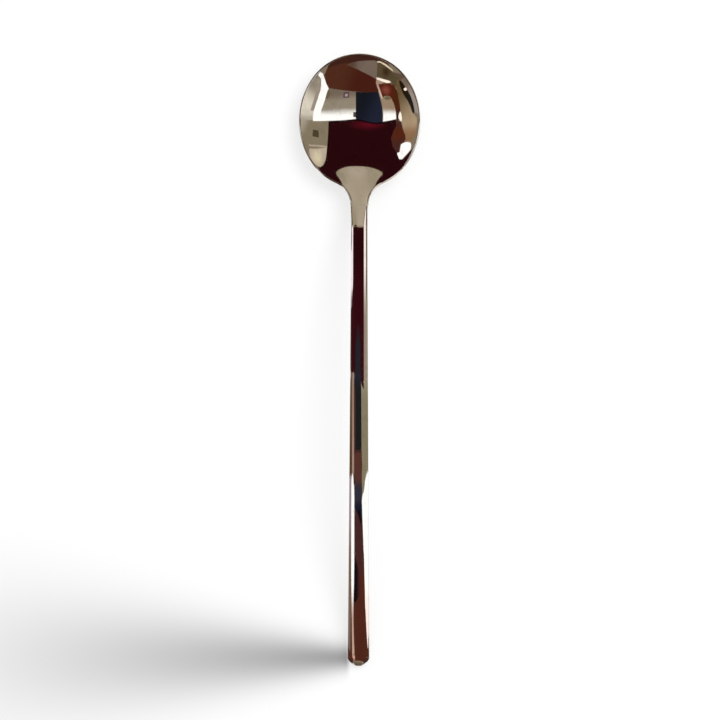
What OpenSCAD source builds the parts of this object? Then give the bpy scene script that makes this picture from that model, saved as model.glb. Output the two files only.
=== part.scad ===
// Round soup spoon with a long, slim, bevelled hollow handle.
// The pressed bowl carries the neck and a tang. Two pressed half shells meet along the
// sides of the handle, close over the tang, and take a bevelled plug at the far end.
// The spoon lies on its bowl and the end of its handle, with the bowl towards +Y.

/* [Overall] */
// Length of the spoon from the tip of the bowl to the end of the handle
overall_length = 205; // [180:1:240]

/* [Bowl] */
// Width of the bowl over its rim
bowl_width = 40.5; // [34:0.5:48]
// Length of the bowl's round outline, before the neck runs into it
bowl_length = 45; // [38:0.5:52]
// Depth of the hollow under the rim
bowl_depth = 6.5; // [5:0.25:9]
// Thickness of the floor of the bowl
floor_thickness = 1.35; // [1:0.05:2]
// Height of the rim's edge
rim_thickness = 1.15; // [0.9:0.05:1.5]
// Width of the rounding on the inner side of the rim
rim_inner_round = 0.55; // [0.4:0.05:1.2]
// Width of the rounding on the outer side of the rim
rim_outer_round = 0.5; // [0.3:0.05:0.8]
// Height of each of the rim's two roundings
rim_round_height = 0.4; // [0.2:0.05:0.45]

/* [Neck] */
// Width of the neck where the fillets from the bowl end
neck_width = 6.2; // [5.6:0.1:7.5]
// Radius of the fillets between the bowl and the neck
neck_fillet = 7.8; // [5:0.2:10]
// Length from the end of the bowl's round outline to the shoulder of the neck
neck_length = 13; // [10:0.5:18]
// Height that the neck climbs above the rim
neck_rise = 5.6; // [4:0.2:8]
// Steepness of the neck at its shoulder, in degrees
neck_slope = 23.5; // [18:0.5:28]
// Radius of the bend at the shoulder, seen from the side
shoulder_bend = 84; // [60:1:120]

/* [Handle] */
// Width of the handle at the shoulder
handle_start_width = 5.5; // [5:0.1:6.5]
// Width of the handle at its far end
handle_end_width = 7.3; // [6.6:0.1:9]
// Thickness of the handle at the shoulder
handle_start_thickness = 3.7; // [3.4:0.1:4.6]
// Thickness of the handle at its far end
handle_end_thickness = 4.2; // [3.8:0.1:5.4]
// Height that the handle's arch climbs above the shoulder
arch_rise = 9.6; // [6:0.2:13]
// Distance from the shoulder to the top of the arch
arch_distance = 62; // [50:1:72]
// Radius of the arch at its top
arch_bend = 190; // [150:5:260]
// Steepness of the handle at its far end, in degrees
tail_slope = 16.5; // [12:0.5:20]
// Angle of the bevels along the handle, in degrees
bevel_angle = 38; // [30:1:44]
// Radius of the slight crown across the front of the handle
crown_radius = 11; // [9:0.5:30]
// Wall of the two half shells
shell_wall = 0.6; // [0.5:0.05:0.8]

/* [End plug] */
// Length of the plug that shows at the end of the handle
plug_length = 3.1; // [2.5:0.1:4.5]
// Width of the flat at the very end
plug_tip_width = 2.9; // [2.4:0.1:3.6]
// Length of the small bevel on the front and the back of the plug
plug_bevel_length = 1.6; // [1:0.1:2]
// Depth of that small bevel
plug_bevel_depth = 0.9; // [0.5:0.05:1.2]

/* [Joints] */
// Length of the tang inside the handle
tang_length = 9; // [6:0.5:14]
// Length of the plug's spigot inside the handle
spigot_length = 6; // [4:0.5:10]
// Thickness of the solder between the pieces
solder_thickness = 0.2; // [0.1:0.02:0.3]
// Thickness of the solder along the two side seams
seam_thickness = 0.1; // [0.06:0.02:0.16]
// Gap around the tang and the spigot
fit_gap = 0.05; // [0.03:0.01:0.1]

/* [Hidden] */

// Shares that set forms, with no length of their own
outline_squareness_share = 0.07;
bowl_round_share = 0.8;
ramp_start_share = 0.62;
bevel_share = 0.4;
width_growth_power = 1.5;
neck_blend_start_share = 0.75;
neck_blend_end_share = 0.6;
plug_narrowing_power = 1.9;

// Counts of the surfaces' points
rim_steps = 60;
heel_steps = 10;
bowl_rings = 12;
fillet_steps = 10;
neck_steps = 7;
tang_steps = 4;
round_steps = 3;
crown_steps = 4;
shell_steps = 56;
spigot_steps = 3;
plug_steps = 4;
halvings = 30;

// Bowl values
half_length = bowl_length / 2;
half_width = bowl_width / 2;
hollow_half_length = half_length - rim_inner_round;
hollow_half_width = half_width - rim_inner_round;
outer_half_length = half_length - rim_outer_round;
outer_half_width = half_width - rim_outer_round;
rim_height = floor_thickness + bowl_depth;
outer_depth = rim_height - rim_thickness;
tip_y = overall_length / 2;
bowl_y = tip_y - half_length;
ramp_start = half_length + ramp_start_share * hollow_half_length;

// Places along the spoon, as distances from the tip of the bowl
shoulder = bowl_length + neck_length;
shell_start = shoulder + solder_thickness;
arch_top = shoulder + arch_distance;
plug_start = overall_length - plug_length;
shell_end = plug_start - solder_thickness;
tail_end = overall_length - plug_bevel_length;

// Heights of the front of the spoon at those places
shoulder_height = rim_height + neck_rise;
arch_height = shoulder_height + arch_rise;
tail_height = upright_thickness(tail_end);

// Rises from 0 to 1 with level ends
function ease(t) = let (u = min(1, max(0, t))) u * u * u * (u * (6 * u - 15) + 10);
function mix(a, b, t) = a + (b - a) * t;

// A smooth curve between two places, given height, slope and bend at both
function bend(x, x0, z0, m0, c0, x1, z1, m1, c1) =
    let (h = x1 - x0)
    let (t = (x - x0) / h)
    let (t2 = t * t)
    let (t3 = t2 * t)
    let (rise = 10 * t3 - 15 * t3 * t + 6 * t3 * t2)
    let (lean0 = t - 6 * t3 + 8 * t3 * t - 3 * t3 * t2)
    let (lean1 = 7 * t3 * t - 4 * t3 - 3 * t3 * t2)
    let (curl0 = (t2 - 3 * t3 + 3 * t3 * t - t3 * t2) / 2)
    let (curl1 = (t3 - 2 * t3 * t + t3 * t2) / 2)
    mix(z0, z1, rise) + h * (m0 * lean0 + m1 * lean1) + h * h * (c0 * curl0 + c1 * curl1);

// Height of the bowl's hollow over its floor, for a share r2 of the rim's distance squared
function dish(r2) = r2 * (bowl_round_share + (1 - bowl_round_share) * r2);
function dish_slope(r) = r * (2 * bowl_round_share + 4 * (1 - bowl_round_share) * r * r);
function dish_curl(r) = 2 * bowl_round_share + 12 * (1 - bowl_round_share) * r * r;
function rim_share2(x, s, half_l, half_w) =
    let (v = (s - half_length) / half_l)
    let (u = x / half_w)
    u * u * (1 - outline_squareness_share * v * v) + v * v;

// Front line of the spoon, seen from the side
ramp_share = (ramp_start - half_length) / hollow_half_length;
ramp_height = floor_thickness + bowl_depth * dish(ramp_share * ramp_share);
ramp_slope = bowl_depth / hollow_half_length * dish_slope(ramp_share);
ramp_curl = bowl_depth / hollow_half_length / hollow_half_length * dish_curl(ramp_share);
function front_line(s) =
    s < ramp_start
        ? floor_thickness + bowl_depth * dish(rim_share2(0, s, hollow_half_length, hollow_half_width))
    : s < shoulder
        ? bend(s, ramp_start, ramp_height, ramp_slope, ramp_curl,
               shoulder, shoulder_height, tan(neck_slope), -1 / shoulder_bend)
    : s < arch_top
        ? bend(s, shoulder, shoulder_height, tan(neck_slope), -1 / shoulder_bend,
               arch_top, arch_height, 0, -1 / arch_bend)
    : s < tail_end
        ? bend(s, arch_top, arch_height, 0, -1 / arch_bend,
               tail_end, tail_height, -tan(tail_slope), 0)
    : tail_height - (s - tail_end) * tan(tail_slope);

// Slope of the handle between three of its places, near enough for its thickness
function lean(s) =
    s < arch_top ? neck_slope * (arch_top - s) / arch_distance
    : tail_slope * (s - arch_top) / (tail_end - arch_top);
function upright_thickness(s) =
    let (t = (s - shoulder) / (plug_start - shoulder))
    mix(handle_start_thickness, handle_end_thickness, t) / cos(lean(s));

// Back line of the spoon: the bowl's underside, then the front line less the thickness
function outer_line(s) = outer_depth * dish(rim_share2(0, s, outer_half_length, outer_half_width));
ramp_thickness = ramp_height - outer_line(ramp_start);
function back_line(s) =
    s < ramp_start ? outer_line(s)
    : front_line(s) - mix(ramp_thickness, upright_thickness(max(s, shoulder)),
                          ease((s - ramp_start) / (shoulder - ramp_start)));

// How far the bowl's form has turned into the neck's, and the neck's into the handle's
function flatness(s) =
    let (start = mix(half_length, bowl_length, neck_blend_start_share))
    ease((s - start) / (bowl_length + neck_blend_end_share * neck_length - start));
function bar_share(s) = ease((s - bowl_length) / neck_length);

// Front and back of the bowl and the neck
function front_height(x, y) =
    let (s = tip_y - y)
    let (dished = dish(rim_share2(x, s, hollow_half_length, hollow_half_width))
                - dish(rim_share2(0, s, hollow_half_length, hollow_half_width)))
    front_line(s) + bowl_depth * dished * (1 - flatness(s))
        - bar_share(s) * x * x / (2 * crown_radius);
function back_height(x, y) =
    let (s = tip_y - y)
    let (dished = dish(rim_share2(x, s, outer_half_length, outer_half_width))
                - dish(rim_share2(0, s, outer_half_length, outer_half_width)))
    back_line(s) + outer_depth * dished * (1 - flatness(s));

// Half widths of the neck and the handle
function bar_half_width(s) =
    let (t = max(0, (s - shoulder) / (plug_start - shoulder)))
    mix(handle_start_width, handle_end_width, pow(t, width_growth_power)) / 2;
function neck_half_width(s) = mix(neck_width / 2, bar_half_width(s), bar_share(s));

// The bowl's round outline, by its angle from the tip
function outline_point(a) =
    let (q = 1 - outline_squareness_share * cos(a) * cos(a))
    [half_width * sin(a) / sqrt(q), bowl_y + half_length * cos(a)];
function outline_normal(a) =
    let (q = 1 - outline_squareness_share * cos(a) * cos(a))
    let (grow = cos(a) / sqrt(q) - outline_squareness_share * cos(a) * sin(a) * sin(a) / pow(q, 1.5))
    let (n = [half_length * sin(a), half_width * grow])
    n / norm(n);

// Angle at which the fillet touches that outline, found by halving
function fillet_angle(low, high, n) =
    let (a = (low + high) / 2)
    let (x = outline_point(a)[0] + neck_fillet * outline_normal(a)[0])
    n == 0 ? a
    : x > neck_width / 2 + neck_fillet ? fillet_angle(a, high, n - 1)
    : fillet_angle(low, a, n - 1);
heel_angle = fillet_angle(90, 180, halvings);
heel_normal = outline_normal(heel_angle);
fillet_centre = outline_point(heel_angle) + neck_fillet * heel_normal;
fillet_turn = atan2(-heel_normal[1], -heel_normal[0]);

// Outline of the right side behind the bowl: [point, outward normal] down the fillet and the neck
fillet_side = [for (i = [1:fillet_steps])
    let (a = mix(fillet_turn, 180, i / fillet_steps))
    [fillet_centre + neck_fillet * [cos(a), sin(a)], -[cos(a), sin(a)]]];
fillet_end = tip_y - fillet_centre[1];
neck_side = [for (i = [1:neck_steps])
    let (s = mix(fillet_end, shoulder, i / neck_steps))
    [[neck_half_width(s), tip_y - s], [1, 0]]];
side = concat([[outline_point(heel_angle), heel_normal]], fillet_side, neck_side);
side_rows = len(side) - 1;

// Width and height of the edge's rounding or bevel, at a place along the spoon
function bar_bevel(s) = bevel_share * bar_half_width(max(s, shoulder));
function edge_width(s, rim_round) = mix(rim_round, bar_bevel(s), bar_share(s));
function edge_drop(s) = mix(rim_round_height, bar_bevel(s) * tan(bevel_angle), bar_share(s));

// Points of one face of the bowl and neck, moved in from the outline by the edge
ring_count = rim_steps + heel_steps;
function ring_angle(i) =
    i <= rim_steps ? mix(-heel_angle, heel_angle, i / rim_steps)
    : mix(heel_angle, 360 - heel_angle, (i - rim_steps) / heel_steps);
function ring_plan(rim_round) = [for (i = [0:ring_count - 1])
    let (a = ring_angle(i))
    outline_point(a) - rim_round * outline_normal(a)];
function row_plan(rim_round) =
    let (ring = ring_plan(rim_round))
    let (last = ring[rim_steps])
    [for (i = [1:side_rows], k = [0:heel_steps])
        let (p = ring[(rim_steps + k) % ring_count])
        let (s = tip_y - side[i][0][1])
        let (q = side[i][0] - edge_width(s, rim_round) * side[i][1])
        let (left = max(0, 1 - i / fillet_steps))
        [q[0] * p[0] / last[0], q[1] + left * left * (p[1] - last[1])]];
function plan(rim_round) =
    let (ring = ring_plan(rim_round))
    let (middle = [0, bowl_y])
    concat([middle],
           [for (r = [1:bowl_rings], p = ring) middle + (p - middle) * r / bowl_rings],
           row_plan(rim_round));
front_face = [for (p = plan(rim_inner_round)) [p[0], p[1], front_height(p[0], p[1])]];
back_face = [for (p = plan(rim_outer_round)) [p[0], p[1], back_height(p[0], p[1])]];
face_count = len(front_face);

// Numbering of those points
function ring_at(r, i) = 1 + (r - 1) * ring_count + i % ring_count;
function row_at(i, k) = i == 0 ? ring_at(bowl_rings, rim_steps + k)
    : 1 + bowl_rings * ring_count + (i - 1) * (heel_steps + 1) + k;
border = concat([for (i = [side_rows:-1:1]) row_at(i, heel_steps)],
                [for (i = [0:rim_steps]) ring_at(bowl_rings, i)],
                [for (i = [1:side_rows]) row_at(i, 0)]);
border_count = len(border);

// Outline point and normal beside each point of the border
function mirrored(p) = [[-p[0][0], p[0][1]], [-p[1][0], p[1][1]]];
border_side = concat([for (i = [side_rows:-1:1]) mirrored(side[i])],
                     [for (i = [0:rim_steps]) [outline_point(ring_angle(i)), outline_normal(ring_angle(i))]],
                     [for (i = [1:side_rows]) side[i]]);

// The rim's rounded edge, which turns into the bevels of the neck
function edge_shares(t, s) =
    let (straight = bar_share(s))
    [mix(1 - sin(90 * t), 1 - t, straight), mix(1 - cos(90 * t), t, straight)];
edge_rows = 2 * round_steps;
edge_points = [for (k = [0:edge_rows - 1], j = [0:border_count - 1])
    let (p = border_side[j][0])
    let (s = tip_y - p[1])
    let (front = k < round_steps)
    let (t = front ? (k + 1) / round_steps : (edge_rows - k) / round_steps)
    let (share = edge_shares(t, s))
    let (flat = p - share[0] * edge_width(s, front ? rim_inner_round : rim_outer_round) * border_side[j][1])
    let (height = front ? front_face[border[j]][2] - share[1] * edge_drop(s)
                : back_face[border[j]][2] + share[1] * edge_drop(s))
    [flat[0], flat[1], height]];
function edge_at(k, j) =
    k == 0 ? border[j]
    : k > edge_rows ? face_count + border[j]
    : 2 * face_count + (k - 1) * border_count + j;

// Section of the handle at a place along it, moved in from the outside by a wall
function side_in(wall) = wall * tan((90 - bevel_angle) / 2);
function ridge_in(wall) = wall * tan(bevel_angle / 2);
function ridge_x(s, wall) = (1 - bevel_share) * bar_half_width(s) - ridge_in(wall);
function crown(x) = x * x / (2 * crown_radius);
function ridge_z(s) = front_line(s) - crown(ridge_x(s, 0));
function bevel_z(s) = bar_bevel(s) * tan(bevel_angle);
function front_side_z(s, wall) = ridge_z(s) - bevel_z(s) - side_in(wall);
function back_side_z(s, wall) = back_line(s) + bevel_z(s) + side_in(wall);
function seam_z(s) = (front_side_z(s, 0) + back_side_z(s, 0)) / 2;
function at(s, x, z) = [x, tip_y - s, z];
function crown_row(s, wall) = [for (k = [0:crown_steps])
    let (x = mix(-1, 1, k / crown_steps) * ridge_x(s, wall))
    at(s, x, front_line(s) - wall - crown(x))];
function front_path(s, wall, seam) =
    let (w = bar_half_width(s) - wall)
    concat([at(s, -w, seam), at(s, -w, front_side_z(s, wall))],
           crown_row(s, wall),
           [at(s, w, front_side_z(s, wall)), at(s, w, seam)]);
function back_path(s, wall, seam) =
    let (w = bar_half_width(s) - wall)
    let (x = ridge_x(s, wall))
    [at(s, w, seam), at(s, w, back_side_z(s, wall)), at(s, x, back_line(s) + wall),
     at(s, -x, back_line(s) + wall), at(s, -w, back_side_z(s, wall)), at(s, -w, seam)];
function section(s, wall) =
    let (w = bar_half_width(s) - wall)
    let (x = ridge_x(s, wall))
    concat([at(s, -w, front_side_z(s, wall))], crown_row(s, wall),
           [at(s, w, front_side_z(s, wall)), at(s, w, back_side_z(s, wall)),
            at(s, x, back_line(s) + wall), at(s, -x, back_line(s) + wall),
            at(s, -w, back_side_z(s, wall))]);

// Faces between two rows of points, and between the loops of a closed solid
function strip(a, b) = [for (i = [0:len(a) - 2], half = [0, 1])
    half == 0 ? [a[i], a[i + 1], b[i + 1]] : [a[i], b[i + 1], b[i]]];
function loop_rows(rows, n, start = 0) = [for (r = [0:rows - 2]) each
    strip([for (i = [0:n]) start + r * n + i % n], [for (i = [0:n]) start + (r + 1) * n + i % n])];
function flip(faces) = [for (f = faces) [for (i = [len(f) - 1:-1:0]) f[i]]];
function flat_rows(rows) = [for (row = rows) each row];

// A closed solid through loops of equal count, closed by a flat face at both ends
module lofted(rows) {
    n = len(rows[0]);
    last = (len(rows) - 1) * n;
    polyhedron(flat_rows(rows), concat(loop_rows(len(rows), n),
               [[for (i = [n - 1:-1:0]) i]], [[for (i = [0:n - 1]) last + i]]));
}

// A wall between an outer and an inner path of equal count, open along its two edges
module shell(outer, inner) {
    m = len(outer[0]);
    n = 2 * m;
    rows = [for (r = [0:len(outer) - 1]) concat(outer[r], [for (i = [m - 1:-1:0]) inner[r][i]])];
    last = (len(rows) - 1) * n;
    first_cap = strip([for (i = [0:m - 1]) i], [for (i = [0:m - 1]) n - 1 - i]);
    last_cap = strip([for (i = [0:m - 1]) last + i], [for (i = [0:m - 1]) last + n - 1 - i]);
    polyhedron(flat_rows(rows), concat(loop_rows(len(rows), n), flip(first_cap), last_cap));
}

// A ring between an outer and an inner loop of equal count
module ring(outer, inner) {
    n = len(outer[0]);
    last = len(outer) * n;
    out_first = [for (i = [0:n]) i % n];
    out_last = [for (i = [0:n]) last - n + i % n];
    in_first = [for (i = [0:n]) last + i % n];
    in_last = [for (i = [0:n]) 2 * last - n + i % n];
    polyhedron(concat(flat_rows(outer), flat_rows(inner)),
               concat(loop_rows(len(outer), n), flip(loop_rows(len(inner), n, last)),
                      flip(strip(out_first, in_first)), strip(out_last, in_last)));
}

// Points across the neck's end and the tang, in the order of the bowl's last row
function tang_loop(s, wall) =
    let (x = ridge_x(s, wall))
    let (w = bar_half_width(s) - wall)
    let (shares = [for (k = [0:heel_steps])
        front_face[row_at(side_rows, k)][0] / front_face[row_at(side_rows, 0)][0]])
    let (front = front_line(s) - wall - crown(x))
    let (back = back_line(s) + wall)
    concat([for (u = shares) at(s, u * x, front_line(s) - wall - crown(u * x))],
           [for (k = [1:round_steps]) at(s, -mix(x, w, k / round_steps),
                                         mix(front, front_side_z(s, wall), k / round_steps))],
           [for (k = [round_steps:-1:1]) at(s, -mix(x, w, k / round_steps),
                                            mix(back, back_side_z(s, wall), k / round_steps))],
           [for (k = [heel_steps:-1:0]) at(s, shares[k] * x, back)],
           [for (k = [1:round_steps]) at(s, mix(x, w, k / round_steps),
                                         mix(back, back_side_z(s, wall), k / round_steps))],
           [for (k = [round_steps:-1:1]) at(s, mix(x, w, k / round_steps),
                                            mix(front, front_side_z(s, wall), k / round_steps))]);

// Pressed bowl, neck and tang in one piece
module bowl() {
    face = concat(
        [for (i = [0:ring_count - 1]) [0, ring_at(1, i + 1), ring_at(1, i)]],
        [for (r = [1:bowl_rings - 1]) each
            strip([for (i = [0:ring_count]) ring_at(r, i)], [for (i = [0:ring_count]) ring_at(r + 1, i)])],
        [for (i = [0:side_rows - 1]) each
            strip([for (k = [0:heel_steps]) row_at(i, k)], [for (k = [0:heel_steps]) row_at(i + 1, k)])]);
    edge = [for (k = [0:edge_rows]) each
        strip([for (j = [0:border_count - 1]) edge_at(k, j)], [for (j = [0:border_count - 1]) edge_at(k + 1, j)])];
    last = border_count - 1;
    end_loop = concat([for (k = [0:heel_steps]) row_at(side_rows, k)],
                      [for (k = [1:edge_rows]) edge_at(k, 0)],
                      [for (k = [heel_steps:-1:0]) face_count + row_at(side_rows, k)],
                      [for (k = [edge_rows:-1:1]) edge_at(k, last)]);
    n = len(end_loop);
    tang_rows = [for (i = [0:tang_steps]) tang_loop(shoulder + tang_length * i / tang_steps, shell_wall + fit_gap)];
    tang_start = 2 * face_count + edge_rows * border_count;
    tang_last = tang_start + tang_steps * n;
    tang_faces = concat(
        strip([for (i = [0:n]) end_loop[i % n]], [for (i = [0:n]) tang_start + i % n]),
        loop_rows(tang_steps + 1, n, tang_start),
        [[for (i = [0:n - 1]) tang_last + i]]);
    color("silver")
    polyhedron(concat(front_face, back_face, edge_points, flat_rows(tang_rows)),
               flip(concat(face, flip([for (f = face) [for (i = f) face_count + i]]), edge, tang_faces)));
}

// Solder between the neck's shoulder and the mouth of the two shells
module neck_solder() {
    color("gainsboro")
    ring([section(shoulder, 0), section(shell_start, 0)],
         [section(shoulder, shell_wall), section(shell_start, shell_wall)]);
}

function shell_stations() = [for (i = [0:shell_steps]) mix(shell_start, shell_end, i / shell_steps)];

// Pressed front half of the handle
module handle_front_shell() {
    color("silver")
    shell([for (s = shell_stations()) front_path(s, 0, seam_z(s) + seam_thickness / 2)],
          [for (s = shell_stations()) front_path(s, shell_wall, seam_z(s) + seam_thickness / 2)]);
}

// Pressed back half of the handle
module handle_back_shell() {
    color("lightgray")
    shell([for (s = shell_stations()) back_path(s, 0, seam_z(s) - seam_thickness / 2)],
          [for (s = shell_stations()) back_path(s, shell_wall, seam_z(s) - seam_thickness / 2)]);
}

// Solder along the two side seams
module seam_solder() {
    color("gainsboro")
    for (hand = [-1, 1])
        lofted([for (s = shell_stations())
            let (w = bar_half_width(s))
            let (x = hand > 0 ? [w - shell_wall, w] : [-w, shell_wall - w])
            let (low = seam_z(s) - seam_thickness / 2)
            let (high = seam_z(s) + seam_thickness / 2)
            [at(s, x[0], low), at(s, x[0], high), at(s, x[1], high), at(s, x[1], low)]]);
}

// Solder between the shells and the end plug
module end_solder() {
    color("gainsboro")
    ring([section(shell_end, 0), section(plug_start, 0)],
         [section(shell_end, shell_wall), section(plug_start, shell_wall)]);
}

// Section of the plug's end, narrowed towards the tip and bevelled front and back
function tip_section(s) =
    let (along = (s - plug_start) / plug_length)
    let (narrow = mix(1, plug_tip_width / handle_end_width, pow(along, plug_narrowing_power)))
    let (cut = plug_bevel_depth * max(0, s - tail_end) / plug_bevel_length)
    let (middle = seam_z(s))
    let (half = front_line(s) - middle)
    [for (p = section(s, 0))
        [p[0] * narrow, p[1], middle + (p[2] - middle) * (half - cut) / half]];

// Bevelled plug with its spigot
module end_plug() {
    inside = shell_wall + fit_gap;
    color("silver")
    lofted(concat(
        [for (i = [0:spigot_steps]) section(mix(plug_start - spigot_length, plug_start, i / spigot_steps), inside)],
        [for (i = [0:plug_steps]) tip_section(mix(plug_start, tail_end, i / plug_steps))],
        [for (i = [1:plug_steps]) tip_section(mix(tail_end, overall_length, i / plug_steps))]));
}

bowl();
neck_solder();
handle_front_shell();
handle_back_shell();
seam_solder();
end_solder();
end_plug();
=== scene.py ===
from math import asin, atan2, cos, hypot, pi, radians, sin, sqrt, tan

import bmesh
import bpy
from mathutils import Color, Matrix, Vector


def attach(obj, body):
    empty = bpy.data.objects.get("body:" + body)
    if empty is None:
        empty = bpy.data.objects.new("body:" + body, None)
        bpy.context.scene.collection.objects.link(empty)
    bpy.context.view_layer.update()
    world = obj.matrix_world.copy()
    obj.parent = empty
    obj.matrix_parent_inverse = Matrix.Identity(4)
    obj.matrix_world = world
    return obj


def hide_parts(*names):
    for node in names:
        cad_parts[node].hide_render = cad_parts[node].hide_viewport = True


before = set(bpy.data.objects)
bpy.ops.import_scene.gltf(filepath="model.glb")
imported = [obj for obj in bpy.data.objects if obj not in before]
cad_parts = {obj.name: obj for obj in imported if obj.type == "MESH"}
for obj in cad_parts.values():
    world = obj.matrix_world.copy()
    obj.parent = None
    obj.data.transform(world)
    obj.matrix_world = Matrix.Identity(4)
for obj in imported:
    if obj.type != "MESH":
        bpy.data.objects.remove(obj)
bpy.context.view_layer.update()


# Bowl, neck and tang
# One piece of stainless steel, pressed to a deep round bowl whose heel runs into the neck.
# Its rim is rounded over, it is polished all over, and its tang is soldered into the handle.

mm = 0.001

overall_length = 205
bowl_width = 40.5
bowl_length = 45
bowl_depth = 6.5
floor_thickness = 1.35
rim_thickness = 1.15
rim_inner_round = 0.55
rim_outer_round = 0.5
rim_round_height = 0.4
rim_softness = 0.1
neck_width = 6.2
neck_fillet = 7.8
neck_length = 13
neck_rise = 5.6
neck_slope = radians(23.5)
shoulder_bend = 84
handle_start_width = 5.5
handle_end_width = 7.3
handle_start_thickness = 3.7
handle_end_thickness = 4.2
arch_rise = 9.6
arch_distance = 62
arch_bend = 190
tail_slope = radians(16.5)
bevel_angle = radians(38)
crown_radius = 11
shell_wall = 0.6
plug_length = 3.1
plug_bevel_length = 1.6
tang_length = 9
fit_gap = 0.05
ridge_softness = 0.16
sharp_angle = radians(35)

scratch_stretch = (1, 0.035, 1)
cross_turn = radians(24)
scratch_detail = 2
scratch_edge = (0.66, 0.74)
scratch_roughness = 0.02
wave_detail = 1
smudge_detail = 4
smudge_grain = 0.6
smudge_edge = (0.52, 0.72)
smudge_roughness = 0.03
speck_scale = 900
speck_detail = 1
speck_edge = (0.76, 0.8)
wear_patchiness = 0.6
wear_roughness = 0.05
bump_distance = 0.00001
ridge_wear = 1.0
edge_wear = 0.3
wall_wear = 0.2

outline_squareness = 0.07
bowl_roundness = 0.8
ramp_start_share = 0.62
bevel_share = 0.4
rim_rise_share = 0.85
width_growth = 1.5
neck_blend_start = 0.75
neck_blend_end = 0.6

rim_steps = 240
heel_steps = 40
bowl_rings = 30
fillet_steps = 40
neck_steps = 26
tang_steps = 4
arc_steps = 4
bevel_rows = [(0.06, 0.011), (0.25, 0.038), (0.45, 0.05), (0.65, 0.045), (0.85, 0.026), (0.94, 0.011),
              (1, 0)]
wall_steps = 2
core_share = 0.42
core_squareness = 0.16
rim_crowding = 1.6
halvings = 30

half_length = bowl_length / 2
half_width = bowl_width / 2
hollow_half_length = half_length - rim_inner_round
hollow_half_width = half_width - rim_inner_round
outer_half_length = half_length - rim_outer_round
outer_half_width = half_width - rim_outer_round
rim_height = floor_thickness + bowl_depth
outer_depth = rim_height - rim_thickness
tip_y = overall_length / 2
bowl_y = tip_y - half_length
ramp_start = half_length + ramp_start_share * hollow_half_length
shoulder = bowl_length + neck_length
arch_top = shoulder + arch_distance
plug_start = overall_length - plug_length
tail_end = overall_length - plug_bevel_length
shoulder_height = rim_height + neck_rise
arch_height = shoulder_height + arch_rise


def mix(a, b, t):
    return a + (b - a) * t


def ease(t):
    t = min(1, max(0, t))
    return t ** 3 * (t * (6 * t - 15) + 10)


def bend(x, start, end):
    """Height of a smooth curve between two places, each (place, height, slope, curl)."""
    x0, z0, slope0, curl0 = start
    x1, z1, slope1, curl1 = end
    h = x1 - x0
    t = (x - x0) / h
    rise = t ** 3 * (10 - 15 * t + 6 * t * t)
    lean0 = t - 6 * t ** 3 + 8 * t ** 4 - 3 * t ** 5
    lean1 = 7 * t ** 4 - 4 * t ** 3 - 3 * t ** 5
    turn0 = (t ** 2 - 3 * t ** 3 + 3 * t ** 4 - t ** 5) / 2
    turn1 = (t ** 3 - 2 * t ** 4 + t ** 5) / 2
    return (mix(z0, z1, rise) + h * (slope0 * lean0 + slope1 * lean1)
            + h * h * (curl0 * turn0 + curl1 * turn1))


def dish(share2):
    return share2 * (bowl_roundness + (1 - bowl_roundness) * share2)


def rim_share2(x, s, half_l, half_w):
    v = (s - half_length) / half_l
    u = x / half_w
    return u * u * (1 - outline_squareness * v * v) + v * v


def lean(s):
    if s < arch_top:
        return neck_slope * (arch_top - s) / arch_distance
    return tail_slope * (s - arch_top) / (tail_end - arch_top)


def upright_thickness(s):
    t = (s - shoulder) / (plug_start - shoulder)
    return mix(handle_start_thickness, handle_end_thickness, t) / cos(lean(s))


tail_height = upright_thickness(tail_end)
ramp_place = (ramp_start - half_length) / hollow_half_length
ramp_height = floor_thickness + bowl_depth * dish(ramp_place ** 2)
ramp_slope = (bowl_depth / hollow_half_length
              * ramp_place * (2 * bowl_roundness + 4 * (1 - bowl_roundness) * ramp_place ** 2))
ramp_curl = (bowl_depth / hollow_half_length ** 2
             * (2 * bowl_roundness + 12 * (1 - bowl_roundness) * ramp_place ** 2))
ramp_point = (ramp_start, ramp_height, ramp_slope, ramp_curl)
shoulder_point = (shoulder, shoulder_height, tan(neck_slope), -1 / shoulder_bend)
arch_point = (arch_top, arch_height, 0, -1 / arch_bend)
tail_point = (tail_end, tail_height, -tan(tail_slope), 0)


def front_line(s):
    """Height of the front of the spoon along its middle, at a distance s from the tip."""
    if s < ramp_start:
        return floor_thickness + bowl_depth * dish(rim_share2(0, s, hollow_half_length, hollow_half_width))
    if s < shoulder:
        return bend(s, ramp_point, shoulder_point)
    if s < arch_top:
        return bend(s, shoulder_point, arch_point)
    if s < tail_end:
        return bend(s, arch_point, tail_point)
    return tail_height - (s - tail_end) * tan(tail_slope)


def outer_line(s):
    return outer_depth * dish(rim_share2(0, s, outer_half_length, outer_half_width))


ramp_thickness = ramp_height - outer_line(ramp_start)


def back_line(s):
    """Height of the back of the spoon along its middle."""
    if s < ramp_start:
        return outer_line(s)
    blend = ease((s - ramp_start) / (shoulder - ramp_start))
    return front_line(s) - mix(ramp_thickness, upright_thickness(max(s, shoulder)), blend)


def flatness(s):
    start = mix(half_length, bowl_length, neck_blend_start)
    return ease((s - start) / (bowl_length + neck_blend_end * neck_length - start))


def bar_share(s):
    return ease((s - bowl_length) / neck_length)


def front_height(x, y):
    s = tip_y - y
    dished = (dish(rim_share2(x, s, hollow_half_length, hollow_half_width))
              - dish(rim_share2(0, s, hollow_half_length, hollow_half_width)))
    return (front_line(s) + bowl_depth * dished * (1 - flatness(s))
            - bar_share(s) * x * x / (2 * crown_radius))


def back_height(x, y):
    s = tip_y - y
    dished = (dish(rim_share2(x, s, outer_half_length, outer_half_width))
              - dish(rim_share2(0, s, outer_half_length, outer_half_width)))
    return back_line(s) + outer_depth * dished * (1 - flatness(s))


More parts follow.
